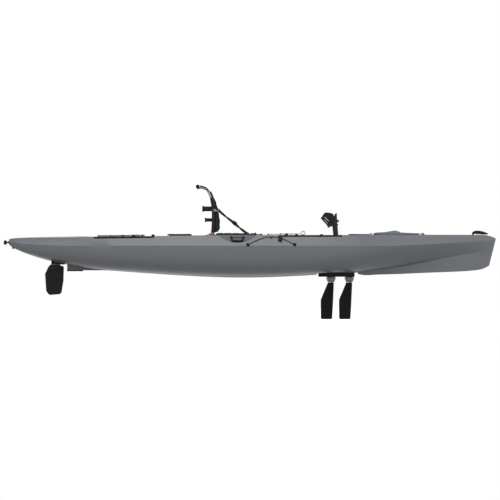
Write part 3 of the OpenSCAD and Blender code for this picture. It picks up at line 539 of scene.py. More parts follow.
def join(pieces: Sequence[bpy.types.Object], name: str) -> bpy.types.Object:
    """Join pieces of one finish into one object.

    Args:
        pieces: The objects, all at the origin.
        name: The name of the result.

    Returns:
        The joined object.
    """
    bm = bmesh.new()
    for piece in pieces:
        bm.from_mesh(piece.data)
    material = pieces[0].data.materials[0]
    for piece in pieces:
        old = piece.data
        bpy.data.objects.remove(piece)
        bpy.data.meshes.remove(old)
    return piece_from(name, bm, material)


def smooth(bm: bmesh.types.BMesh, angle: float) -> None:
    """Shade a bmesh smooth, but for its sharper edges.

    Args:
        bm: The shape.
        angle: Edges sharper than this, in degrees, stay sharp.
    """
    limit = math.radians(angle)
    for face in bm.faces:
        face.smooth = True
    for edge in bm.edges:
        edge.smooth = len(edge.link_faces) == 2 and edge.calc_face_angle(0.0) < limit


def loft(rings: Sequence[Sequence[Vector]], angle: float = 50.0) -> bmesh.types.BMesh:
    """Skin closed rings of points into one shell with flat ends.

    Args:
        rings: The rings, each with the same number of points.
        angle: Edges sharper than this, in degrees, stay sharp.

    Returns:
        A closed bmesh.
    """
    bm = bmesh.new()
    rows = [[bm.verts.new(point) for point in ring] for ring in rings]
    for a, b in zip(rows, rows[1:]):
        for i in range(len(a)):
            k = (i + 1) % len(a)
            bm.faces.new((a[i], a[k], b[k], b[i]))
    bm.faces.new(rows[0][::-1])
    bm.faces.new(rows[-1])
    bmesh.ops.recalc_face_normals(bm, faces=bm.faces)
    smooth(bm, angle)
    return bm


def tube(path: Sequence[Vector], radius: float | Callable[[float], float], sides: int = 10) -> bmesh.types.BMesh:
    """Sweep a round bar along a path.

    Args:
        path: The centre line.
        radius: The bar's radius, or a function of the share of the path.
        sides: Points round the bar.

    Returns:
        A closed bmesh.
    """
    rings = []
    side = Vector((0, 1, 0))
    last = len(path) - 1
    turns = [2 * math.pi * j / sides for j in range(sides)]
    for i, point in enumerate(path):
        ahead = (path[min(i + 1, last)] - path[max(i - 1, 0)]).normalized()
        if abs(ahead.dot(side)) < 0.98:
            side = (side - ahead * side.dot(ahead)).normalized()
        else:
            side = ahead.orthogonal().normalized()
        up = ahead.cross(side)
        r = radius(i / last) if callable(radius) else radius
        rings.append([point + r * (math.cos(a) * side + math.sin(a) * up) for a in turns])
    return loft(rings)


def rounded(path: Sequence[Vector], rounds: int = 2) -> list[Vector]:
    """Round the corners of a path by cutting them, keeping its ends.

    Args:
        path: The path.
        rounds: How often each corner is cut.

    Returns:
        The rounded path.
    """
    for _ in range(rounds):
        out = [path[0]]
        for a, b in zip(path, path[1:]):
            out += [a.lerp(b, 0.25), a.lerp(b, 0.75)]
        path = out + [path[-1]]
    return list(path)


def lookup(value: float, table: Sequence[tuple[float, float]]) -> float:
    """Interpolate a value in a table of pairs, held at its ends."""
    return float(np.interp(value, [t[0] for t in table], [t[1] for t in table]))


def along(low: float, high: float, share: float, margin: float = 0.0) -> float:
    """Return the place at a share of the way between two ends, each drawn in by a margin."""
    return low + margin + (high - low - 2 * margin) * share


def circle(x: float, y: float, z: float, radius: float, turns: Sequence[float]) -> list[Vector]:
    """Return the points of a level circle at some angles, in radians."""
    return [Vector((x + radius * math.cos(a), y + radius * math.sin(a), z)) for a in turns]


def at(x: float, y: float, z: float) -> Vector:
    """Turn millimetres along, across and above the keel into a point of the row frame."""
    return Vector((x * MM, y * MM, z * MM + KEEL))


@dataclass
class Dresser:
    """Makes and places the pieces: knows the frame, the finishes and the body of each node."""

    frame: dict[str, Any]
    locker: Locker
    homes: dict[str, str] = field(init=False)

    def __post_init__(self) -> None:
        """Look up the body of each node."""
        self.homes = {n: b for b, nodes in self.frame["record"]["behaviour"]["bodies"].items() for n in nodes}

    def place(self, piece: bpy.types.Object, body: str, finish: str, *nodes: str) -> bpy.types.Object:
        """Make a piece ride on a body and let it stand for CAD nodes.

        Args:
            piece: The finished piece.
            body: The body that it rides on.
            finish: The finish that it wears.
            *nodes: The nodes that it replaces.

        Returns:
            The same piece.
        """
        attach(piece, body)
        self.locker.slot(finish)
        if nodes:
            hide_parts(*nodes)
        LOG.info("%s rides on %s", piece.name, body)
        return piece

    def shape(self, name: str, bm: bmesh.types.BMesh, finish: str) -> bpy.types.Object:
        """Make a bmesh a piece in one of the boat's finishes."""
        return piece_from(name, bm, self.locker.get(finish))

    def unite(self, pieces: Sequence[bpy.types.Object], name: str, body: str, finish: str, *nodes: str) -> None:
        """Join pieces of one finish and place the result."""
        self.place(join(pieces, name), body, finish, *nodes)

    def shape_of(self, node: str, angle: float = 32.0, dissolve: bool = True) -> bmesh.types.BMesh:
        """Copy a node's surface as one merged bmesh.

        Args:
            node: The CAD node.
            angle: Edges sharper than this stay sharp.
            dissolve: Whether flat areas become single faces.

        Returns:
            The merged copy, in the row frame.
        """
        source = self.frame["nodes"][node]
        bm = bmesh.new()
        bm.from_mesh(source.data)
        bm.transform(source.matrix_world)
        bmesh.ops.remove_doubles(bm, verts=bm.verts, dist=2e-6)
        if dissolve:
            bmesh.ops.dissolve_limit(bm, angle_limit=math.radians(0.6), verts=bm.verts, edges=bm.edges)
        smooth(bm, angle)
        return bm

    def moulded(self, node: str, finish: str, edge_mm: float, angle: float = 32.0, segments: int = 2) -> None:
        """Re-make a CAD node with the small edge radii of a real moulding or machined part.

        Args:
            node: The CAD node.
            finish: Its finish.
            edge_mm: Width of the rounded edges, or 0 for none.
            angle: Edges sharper than this are rounded.
            segments: Steps in each rounded edge.
        """
        made = self.shape(node + "_moulded", self.shape_of(node, angle), finish)
        if edge_mm:
            bevel = made.modifiers.new("edge", "BEVEL")
            bevel.width = edge_mm * MM
            bevel.segments = segments
            bevel.limit_method = "ANGLE"
            bevel.angle_limit = math.radians(angle)
            settle(made)
        self.place(made, self.homes[node], finish, node)

    def surface(self, node: str) -> BVHTree:
        """Build a search tree of a node's surface, for setting pieces on it.

        Args:
            node: The CAD node.

        Returns:
            The tree, in the row frame.
        """
        source = self.frame["nodes"][node]
        bm = bmesh.new()
        bm.from_mesh(source.data)
        bm.transform(source.matrix_world)
        found = BVHTree.FromBMesh(bm)
        bm.free()
        return found


# The kinds of a pattern's inputs
FLOAT, COUNT, SIZES = "NodeSocketFloat", "NodeSocketInt", "NodeSocketVector"


class Pattern:
    """A Geometry Nodes tree with named inputs that ends in real geometry with one finish."""

    kind = "pattern"
    inputs: dict[str, str] = {}

    def __init__(self) -> None:
        """Build the tree."""
        self.tree = bpy.data.node_groups.new(self.kind, "GeometryNodeTree")
        sockets = {"Geometry": "NodeSocketGeometry", **self.inputs, "Material": "NodeSocketMaterial"}
        for name, kind in sockets.items():
            self.tree.interface.new_socket(name=name, in_out="INPUT", socket_type=kind)
        self.tree.interface.new_socket(name="Geometry", in_out="OUTPUT", socket_type="NodeSocketGeometry")
        start = add(self.tree, "NodeGroupInput")
        real = add(self.tree, "GeometryNodeRealizeInstances", {"Geometry": self.build(start)})
        dressed = add(self.tree, "GeometryNodeSetMaterial",
                      {"Geometry": real.outputs[0], "Material": start.outputs["Material"]})
        add(self.tree, "NodeGroupOutput", {"Geometry": dressed.outputs[0]})

    def build(self, start: bpy.types.Node) -> bpy.types.NodeSocket:
        """Build the pattern's own nodes.

        Args:
            start: The tree's input node.

        Returns:
            The pattern's geometry.
        """
        raise NotImplementedError

    def spread(self, seed: bpy.types.Object, material: bpy.types.Material, **values: Any) -> bpy.types.Object:
        """Run the tree on an object and keep the result as plain mesh.

        Args:
            seed: The object whose points or edges carry the pattern.
            material: The finish.
            **values: The tree's inputs, with underscores for spaces.

        Returns:
            The same object, as the finished piece.
        """
        wanted = {key.replace("_", " "): value for key, value in values.items()} | {"Material": material}
        modifier = seed.modifiers.new("pattern", "NODES")
        modifier.node_group = self.tree
        for item in self.tree.interface.items_tree:
            if item.in_out == "INPUT" and item.name in wanted:
                modifier[item.identifier] = wanted[item.name]
        seed.update_tag()
        made = settle(seed)
        made.data.materials.clear()
        made.data.materials.append(material)
        return made

    def copies(self, points: bpy.types.NodeSocket, shape: bpy.types.NodeSocket,
               facing: bpy.types.NodeSocket | None = None, axis: str = "Z") -> bpy.types.NodeSocket:
        """Put a shape on points, with one of its axes along a direction.

        Args:
            points: The points.
            shape: The shape.
            facing: The direction at each point, if it isn't the points' own.
            axis: The shape's axis that follows the direction.

        Returns:
            The copies.
        """
        if facing is None:
            facing = add(self.tree, "GeometryNodeInputNamedAttribute", {"Name": "facing"},
                         data_type="FLOAT_VECTOR").outputs["Attribute"]
        turn = add(self.tree, "FunctionNodeAlignRotationToVector", {"Vector": facing}, axis=axis)
        return add(self.tree, "GeometryNodeInstanceOnPoints",
                   {"Points": points, "Instance": shape, "Rotation": turn.outputs["Rotation"]}).outputs["Instances"]


class ScrewField(Pattern):
    """Pan-head screws, one at each vertex, standing along its facing."""

    kind = "screw_field"
    inputs = {"Head Radius": FLOAT, "Head Height": FLOAT}
    crown_share = 0.62
    lobe_share = 0.36
    crown_lift = 0.0009
    lobe_lift = 0.0021

    def build(self, start: bpy.types.Node) -> bpy.types.NodeSocket:
        """Join a rim, a crowned top and a six-lobed drive into one head.

        Args:
            start: The tree's input node.

        Returns:
            The heads.
        """
        t = self.tree
        radius, height = start.outputs["Head Radius"], start.outputs["Head Height"]
        rim = add(t, "GeometryNodeMeshCylinder", {"Vertices": 14, "Radius": radius, "Depth": height})
        top = add(t, "ShaderNodeMath", {0: radius, 1: self.crown_share}, operation="MULTIPLY")
        crown = add(t, "GeometryNodeMeshCone",
                    {"Vertices": 14, "Radius Top": top.outputs[0], "Radius Bottom": radius, "Depth": height})
        lifted = add(t, "GeometryNodeTransform",
                     {"Geometry": crown.outputs["Mesh"], "Translation": (0, 0, self.crown_lift)})
        small = add(t, "ShaderNodeMath", {0: radius, 1: self.lobe_share}, operation="MULTIPLY")
        drive = add(t, "GeometryNodeMeshCylinder", {"Vertices": 6, "Radius": small.outputs[0], "Depth": height})
        raised = add(t, "GeometryNodeTransform",
                     {"Geometry": drive.outputs["Mesh"], "Translation": (0, 0, self.lobe_lift)})
        head = add(t, "GeometryNodeJoinGeometry")
        for part in (rim.outputs["Mesh"], lifted.outputs[0], raised.outputs[0]):
            t.links.new(part, head.inputs[0])
        return self.copies(start.outputs["Geometry"], head.outputs[0])


class StitchRow(Pattern):
    """Lock stitches along the edges of a seam line."""

    kind = "stitch_row"
    inputs = {"Spacing": FLOAT, "Length": FLOAT, "Thread": FLOAT}

    def build(self, start: bpy.types.Node) -> bpy.types.NodeSocket:
        """Lay short five-sided stitches along the line.

        Args:
            start: The tree's input node.

        Returns:
            The stitches.
        """
        t = self.tree
        line = add(t, "GeometryNodeMeshToCurve", {"Mesh": start.outputs["Geometry"]})
        marks = add(t, "GeometryNodeCurveToPoints", {"Curve": line.outputs[0], "Length": start.outputs["Spacing"]},
                    mode="LENGTH")
        half = add(t, "ShaderNodeMath", {0: start.outputs["Thread"], 1: 0.5}, operation="MULTIPLY")
        stitch = add(t, "GeometryNodeMeshCylinder",
                     {"Vertices": 5, "Radius": half.outputs[0], "Depth": start.outputs["Length"]})
        return self.copies(marks.outputs["Points"], stitch.outputs["Mesh"], marks.outputs["Tangent"])


class CordSweep(Pattern):
    """A round cord or piping swept along the edges of a route."""

    kind = "cord_sweep"
    inputs = {"Diameter": FLOAT, "Sides": COUNT}

    def build(self, start: bpy.types.Node) -> bpy.types.NodeSocket:
        """Sweep a circle along the route and close its ends.

        Args:
            start: The tree's input node.

        Returns:
            The cord.
        """
        t = self.tree
        line = add(t, "GeometryNodeMeshToCurve", {"Mesh": start.outputs["Geometry"]})
        half = add(t, "ShaderNodeMath", {0: start.outputs["Diameter"], 1: 0.5}, operation="MULTIPLY")
        ring = add(t, "GeometryNodeCurvePrimitiveCircle",
                   {"Resolution": start.outputs["Sides"], "Radius": half.outputs[0]})
        swept = add(t, "GeometryNodeCurveToMesh",
                    {"Curve": line.outputs[0], "Profile Curve": ring.outputs["Curve"], "Fill Caps": True})
        return add(t, "GeometryNodeSetShadeSmooth", {"Geometry": swept.outputs[0]}).outputs[0]


class RibFan(Pattern):
    """Grip ribs round a circle, such as the rim of a twist lid."""

    kind = "rib_fan"
    inputs = {"Count": COUNT, "Radius": FLOAT, "Rib Size": SIZES, "Centre": SIZES}

    def build(self, start: bpy.types.Node) -> bpy.types.NodeSocket:
        """Stand a rib at each point of the circle, facing out.

        Args:
            start: The tree's input node.

        Returns:
            The ribs.
        """
        t = self.tree
        ring = add(t, "GeometryNodeMeshCircle", {"Vertices": start.outputs["Count"], "Radius": start.outputs["Radius"]})
        rib = add(t, "GeometryNodeMeshCube", {"Size": start.outputs["Rib Size"]})
        place = add(t, "GeometryNodeInputPosition")
        out = self.copies(ring.outputs["Mesh"], rib.outputs["Mesh"], place.outputs[0], "X")
        return add(t, "GeometryNodeTransform", {"Geometry": out, "Translation": start.outputs["Centre"]}).outputs[0]


class TreadField(Pattern):
    """Non-slip domes on a field of vertices, such as a heel rest."""

    kind = "tread_field"
    inputs = {"Dome Radius": FLOAT, "Flatness": FLOAT}

    def build(self, start: bpy.types.Node) -> bpy.types.NodeSocket:
        """Put a flattened dome on each vertex.

        Args:
            start: The tree's input node.

        Returns:
            The domes.
        """
        t = self.tree
        ball = add(t, "GeometryNodeMeshUVSphere", {"Segments": 8, "Rings": 5, "Radius": start.outputs["Dome Radius"]})
        size = add(t, "ShaderNodeCombineXYZ", {"X": 1.0, "Y": 1.0, "Z": start.outputs["Flatness"]})
        flat = add(t, "GeometryNodeTransform", {"Geometry": ball.outputs["Mesh"], "Scale": size.outputs[0]})
        soft = add(t, "GeometryNodeSetShadeSmooth", {"Geometry": flat.outputs[0]})
        return self.copies(start.outputs["Geometry"], soft.outputs[0])


class RingRow(Pattern):
    """Raised rings at each vertex round its facing, such as the ribs of a hand grip."""

    kind = "ring_row"
    inputs = {"Ring Radius": FLOAT, "Bead": FLOAT}

    def build(self, start: bpy.types.Node) -> bpy.types.NodeSocket:
        """Sweep a bead round a circle and put it on each vertex.

        Args:
            start: The tree's input node.

        Returns:
            The rings.
        """
        t = self.tree
        ring = add(t, "GeometryNodeCurvePrimitiveCircle", {"Resolution": 20, "Radius": start.outputs["Ring Radius"]})
        bead = add(t, "GeometryNodeCurvePrimitiveCircle", {"Resolution": 6, "Radius": start.outputs["Bead"]})
        torus = add(t, "GeometryNodeCurveToMesh",
                    {"Curve": ring.outputs["Curve"], "Profile Curve": bead.outputs["Curve"]})
        return self.copies(start.outputs["Geometry"], torus.outputs[0])


def carrier(name: str, points: Sequence[Vector], facings: Sequence[Vector] | None = None) -> bpy.types.Object:
    """Make a carrier for a pattern: vertices with facings, or without them a line of joined vertices.

    Args:
        name: The object's name.
        points: Where the vertices are.
        facings: The direction at each vertex.

    Returns:
        The linked carrier.
    """
    mesh = bpy.data.meshes.new(name)
    edges = [] if facings else [(i, i + 1) for i in range(len(points) - 1)]
    mesh.from_pydata([tuple(p) for p in points], edges, [])
    if facings:
        facing = mesh.attributes.new("facing", "FLOAT_VECTOR", "POINT")
        facing.data.foreach_set("vector", [c for f in facings for c in f])
    return link(name, mesh)


@dataclass
class Trimmings:
    """The shared patterns, run with this boat's finishes."""

    dresser: Dresser
    heads: ScrewField = field(default_factory=ScrewField)
    stitches: StitchRow = field(default_factory=StitchRow)
    cords: CordSweep = field(default_factory=CordSweep)
    ribs: RibFan = field(default_factory=RibFan)
    domes: TreadField = field(default_factory=TreadField)
    rings: RingRow = field(default_factory=RingRow)

    def run(self, pattern: Pattern, name: str, body: str, finish: str, hits: Sequence[Hit] = ((Vector(), UP),),
            **values: Any) -> None:
        """Run one pattern and place the result.

        Args:
            pattern: The pattern.
            name: Name of the piece.
            body: The body that it rides on.
            finish: Its finish.
            hits: The vertices that carry it, each with its direction.
            **values: The pattern's inputs.
        """
        seed = carrier(name, [h[0] for h in hits], [h[1] for h in hits])
        self.dresser.place(pattern.spread(seed, self.dresser.locker.get(finish), **values), body, finish)

    def sew(self, name: str, body: str, finish: str, line: Sequence[Vector], spacing: float, length: float,
            thread: float) -> None:
        """Lay a row of stitches along a line and place it.

        Args:
            name: Name of the row.
            body: The body that it rides on.
            finish: Its finish.
            line: The points that it follows.
            spacing: From stitch to stitch, in metres.
            length: Of one stitch.
            thread: The thread's thickness.
        """
        made = self.stitches.spread(carrier(name, line), self.dresser.locker.get(finish),
                                    Spacing=spacing, Length=length, Thread=thread)
        self.dresser.place(made, body, finish)

    def cord(self, name: str, path: Sequence[Vector], finish: str, diameter: float, sides: int) -> bpy.types.Object:
        """Sweep a cord, which isn't placed yet.

        Args:
            name: Name of the cord.
            path: The points that it follows.
            finish: Its finish.
            diameter: In metres.
            sides: Points round it.

        Returns:
            The cord.
        """
        return self.cords.spread(carrier(name, path), self.dresser.locker.get(finish), Diameter=diameter, Sides=sides)


def swell(piece: bpy.types.Object, shrink_mm: float, cap_mm: float, voxel_mm: float = 6.0, pressure: float = 4.0,
          frames: int = 20) -> None:
    """Remesh a soft solid, fill it with air as cloth and keep the result as its mesh.

    Args:
        piece: The piece, which starts as its solid.
        shrink_mm: How far the solid is drawn in first.
        cap_mm: The furthest that any point may move.
        voxel_mm: Size of the remeshed faces.
        pressure: Pressure inside the cloth.
        frames: Steps of the simulation.
    """
    remesh = piece.modifiers.new("remesh", "REMESH")
    remesh.mode = "VOXEL"
    remesh.voxel_size = voxel_mm * MM
    settle(piece)
    bm = bmesh.new()
    bm.from_mesh(piece.data)
    bm.normal_update()
    for vert in bm.verts:
        vert.co -= vert.normal * shrink_mm * MM
    bm.to_mesh(piece.data)
    bm.free()
    count = len(piece.data.vertices)
    start, end = np.empty(count * 3), np.empty(count * 3)
    piece.data.vertices.foreach_get("co", start)
    cloth = piece.modifiers.new("cloth", "CLOTH")
    cloth.settings.use_pressure = True
    cloth.settings.uniform_pressure_force = pressure
    cloth.settings.effector_weights.gravity = 0
    cloth.settings.quality = 4
    cloth.settings.mass = 0.3
    cloth.point_cache.frame_end = frames
    for step in range(1, frames + 1):
        bpy.context.scene.frame_set(step)
    blown = piece.evaluated_get(bpy.context.evaluated_depsgraph_get())
    blown.to_mesh().vertices.foreach_get("co", end)
    blown.to_mesh_clear()
    piece.modifiers.clear()
    bpy.context.scene.frame_set(1)
    move = (end - start).reshape(-1, 3)
    far = np.linalg.norm(move, axis=1, keepdims=True)
    move *= np.minimum(1.0, cap_mm * MM / np.maximum(far, 1e-9))
    piece.data.vertices.foreach_set("co", start + move.ravel())
    LOG.info("%s swelled by up to %.1f mm", piece.name, float(np.linalg.norm(move, axis=1).max()) / MM)
    finer = piece.modifiers.new("finer", "SUBSURF")
    finer.levels = finer.render_levels = 1
    settle(piece)


def press(piece: bpy.types.Object, depth: Callable[[Vector, Vector], float]) -> None:
    """Press each point of a piece inwards along its normal.

    Args:
        piece: The piece.
        depth: Gives the depth in metres at a point with its normal.
    """
    bm = bmesh.new()
    bm.from_mesh(piece.data)
    bm.normal_update()
    moves = [(v, v.normal * depth(v.co, v.normal)) for v in bm.verts]
    for vert, move in moves:
        vert.co -= move
    smooth(bm, 60)
    bm.to_mesh(piece.data)
    bm.free()


@dataclass
class SubAssembly:
    """A part of the boat that builds and dresses its own pieces."""

    dresser: Dresser
    trim: Trimmings

    def build(self) -> None:
        """Build and dress every piece of the sub-assembly."""
        raise NotImplementedError

    def screws(self, name: str, hits: Sequence[Hit], radius_mm: float) -> None:
        """Set stainless screws in the boat, standing on the surface that rays found."""
        self.trim.run(self.trim.heads, name, "boat", "brushed_stainless", hits,
                      Head_Radius=radius_mm * MM, Head_Height=radius_mm * 0.45 * MM)

    def cast(self, tree: BVHTree, start: Vector, way: Vector, reach_mm: float = 900.0) -> Hit | None:
        """Find where a ray meets a surface.

        Args:
            tree: The surface.
            start: Where the ray starts.
            way: Its direction.
            reach_mm: Its length.

        Returns:
            The point and the outward normal there, or None.
        """
        spot, normal, _, _ = tree.ray_cast(start, way, reach_mm * MM)
        if spot is None:
            return None
        return spot, normal if normal.dot(way) < 0 else -normal

    def hits(self, node: str, starts: Sequence[Vector], way: Vector, facing: float = -1.0) -> list[Hit]:
        """Find where parallel rays meet a node.

        Args:
            node: The CAD node.
            starts: Where the rays start.
            way: Their direction.
            facing: How squarely the surface has to face the ray, where 1 is square on.

        Returns:
            The points with their normals, without those that missed.
        """
        tree = self.dresser.surface(node)
        found = [self.cast(tree, start, way) for start in starts]
        return [hit for hit in found if hit and -hit[1].dot(way) > facing]


@dataclass
class Hull(SubAssembly):
    """The rotomoulded hull, its wear strip, sleeves and mast socket."""

    heel_start_mm: tuple[float, float] = (500.0, 86.0)
    heel_length_mm: float = 330.0
    heel_width_mm: float = 96.0
    heel_top_mm: float = 300.0
    above_mm: float = 400.0
    dome_pitch_mm: float = 24.0
    flange_margin: float = 0.0055
    strip_screws: tuple[float, ...] = (0.1, 0.5, 0.9)

    def build(self) -> None:
        """Build the skin, the fittings moulded into it and the heel treads."""
        skin = self.dresser.shape("hull_skin", self.dresser.shape_of("hull_shell", 24, False),
                                  "rotomoulded_slate_polyethylene")
        self.dresser.place(skin, "boat", "rotomoulded_slate_polyethylene", "hull_shell")
        self.dresser.moulded("skeg_strip", "moulded_coarse_black_nylon", 1.0)
        self.dresser.moulded("scupper_sleeves", "moulded_graphite_nylon", 0.6)
        self.dresser.moulded("mast_socket", "moulded_black_nylon", 1.0)
        self.dresser.moulded("drain_plug", "moulded_black_nylon", 0.8)
        self.tread()
        self.fasteners()

    def tread(self) -> None:
        """Set rows of low domes on the footwell floors, where the heels rest."""
        pitch = self.dome_pitch_mm
        starts = [at(self.heel_start_mm[0] + i * pitch,
                     side.value * (self.heel_start_mm[1] + (j + 0.5 * (i % 2)) * pitch), self.above_mm)
                  for side in Side
                  for i in range(int(self.heel_length_mm / pitch))
                  for j in range(int(self.heel_width_mm / pitch))]
        floor = [h for h in self.hits("hull_shell", starts, DOWN, FLAT) if h[0].z < KEEL + self.heel_top_mm * MM]
        self.trim.run(self.trim.domes, "heel_tread_domes", "boat", "rotomoulded_slate_polyethylene", floor,
                      Dome_Radius=0.0055, Flatness=0.3)

    def fasteners(self) -> None:
        """Set the screws of the mast socket flange and the wear strip."""
        low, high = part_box("mast_socket")
        turns = [math.pi / 4 + k * math.pi / 2 for k in range(4)]
        ring = circle((low[0] + high[0]) / 2, 0.0, high[2], (high[0] - low[0]) / 2 - self.flange_margin, turns)
        self.screws("mast_socket_screws", [(spot, UP) for spot in ring], 3.2)
        low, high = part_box("skeg_strip")
        starts = [Vector((along(low[0], high[0], share), 0, low[2] - CLEAR)) for share in self.strip_screws]
        self.screws("wear_strip_screws", self.hits("skeg_strip", starts, UP), 4.0)


@dataclass
class DeckFittings(SubAssembly):
    """Accessory rails, tie-down knobs, rings, pad eyes, studs and toggles."""

    screw_pitch_mm: float = 95.0
    search_mm: range = range(140, 330, 2)

    def build(self) -> None:
        """Re-make the fittings and add their screws."""
        for node in ("rear_rails", "front_rails"):
            self.dresser.moulded(node, "moulded_black_nylon", 1.2)
            self.rail_screws(node)
        self.dresser.moulded("rail_knobs", "moulded_coarse_black_nylon", 1.2, 40)
        self.dresser.moulded("deck_rings", "dulled_stainless", 0, 60)
        self.dresser.moulded("deck_padeyes", "moulded_black_nylon", 0.8)
        self.dresser.moulded("paddle_keeper_studs", "moulded_black_nylon", 0.6)
        self.dresser.moulded("paddle_keeper_toggles", "moulded_coarse_black_nylon", 3.0, 32, 3)

    def rail_screws(self, node: str) -> None:
        """Set screws along the middle of each rail of a pair, which rays across the deck find.

        Args:
            node: The rails' node.
        """
        low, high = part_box(node)
        tree = self.dresser.surface(node)
        count = int((high[0] - low[0]) / MM / self.screw_pitch_mm)
        above = high[2] + CLEAR
        hits = []
        for side in Side:
            for k in range(1, count):
                x = along(low[0], high[0], k / count)
                line = [self.cast(tree, Vector((x, side.value * y * MM, above)), DOWN) for y in self.search_mm]
                flat = [h[0].y for h in line if h and h[1].z > 0.95]
                if flat:
                    hit = self.cast(tree, Vector((x, (flat[0] + flat[-1]) / 2, above)), DOWN)
                    hits += [hit] if hit else []
        self.screws(node[:-1] + "_screws", hits, 3.6)


@dataclass
class Hatches(SubAssembly):
    """The bow hatch on its hinge and the two twist-off hatches."""

    grips: int = 40
    grip_size: tuple[float, float, float] = (0.0085, 0.0036, 0.0018)
    grip_lift: float = 0.0004
    grip_margin: float = 0.006
    ring_margin: float = 0.0052

    def build(self) -> None:
        """Re-make the lids, rings, hinge and latch, and add grips and screws."""
        self.dresser.moulded("bow_hatch_lid", "moulded_slate_lid", 2.0, 28, 3)
        self.dresser.moulded("bow_hatch_seal", "moulded_black_rubber", 1.0)
        self.dresser.moulded("bow_hatch_hinge", "moulded_black_nylon", 1.0)
        self.dresser.moulded("bow_hatch_latch", "moulded_graphite_nylon", 1.2)
        for node in ("rear_hatch", "centre_hatch"):
            self.dresser.moulded(node + "_ring", "moulded_black_nylon", 1.0)
            self.dresser.moulded(node + "_lid", "moulded_graphite_nylon", 1.6)
            self.lid_ribs(node)

    def lid_ribs(self, name: str) -> None:
        """Stand grip ribs round the rim of a twist lid, and screws round its ring.

        Args:
            name: The hatch, rear_hatch or centre_hatch.
        """
        low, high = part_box(name + "_lid")
        x, y = (low[0] + high[0]) / 2, (low[1] + high[1]) / 2
        self.trim.run(self.trim.ribs, name + "_lid_grips", name.split("_")[0] + "_lid", "moulded_graphite_nylon",
                      Count=self.grips, Radius=(high[0] - low[0]) / 2 - self.grip_margin, Rib_Size=self.grip_size,
                      Centre=(x, y, high[2] + self.grip_lift))
        low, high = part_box(name + "_ring")
        turns = [math.pi * (k + 0.5) / 4 for k in range(8)]
        starts = circle(x, y, high[2] + CLEAR, (high[0] - low[0]) / 2 - self.ring_margin, turns)
        self.screws(name + "_ring_screws", self.hits(name + "_ring", starts, DOWN, FLAT), 2.8)


@dataclass
class Handles(SubAssembly):
    """Bow, stern and side carry handles."""

    grip_ribs: int = 22
    grip_margin: float = 0.014
    grip_height: float = 0.008

    def build(self) -> None:
        """Re-make the handles and their clips, with ribs on the side grips."""
        self.dresser.moulded("bow_handle", "moulded_black_nylon", 3.0, 30, 3)
        self.dresser.moulded("stern_handle", "moulded_black_nylon", 2.0, 30, 3)
        for clip in ("bow_handle_clip", "stern_handle_clips", "side_handle_clips"):
            self.dresser.moulded(clip, "moulded_graphite_nylon", 0.8)
        for side in Side:
            node = "side_handle_" + side.label
            self.dresser.moulded(node, "moulded_black_rubber", 1.0)
            low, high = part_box(node)
            y, z = (low[1] + high[1]) / 2, low[2] + self.grip_height
            hits = [(Vector((along(low[0], high[0], k / self.grip_ribs, self.grip_margin), y, z)), FORE)
                    for k in range(self.grip_ribs + 1)]
            self.trim.run(self.trim.rings, "side_grip_ribs_" + side.label, "side_grip_" + side.label,
                          "ribbed_grip_rubber", hits, Ring_Radius=0.0078, Bead=0.0011)


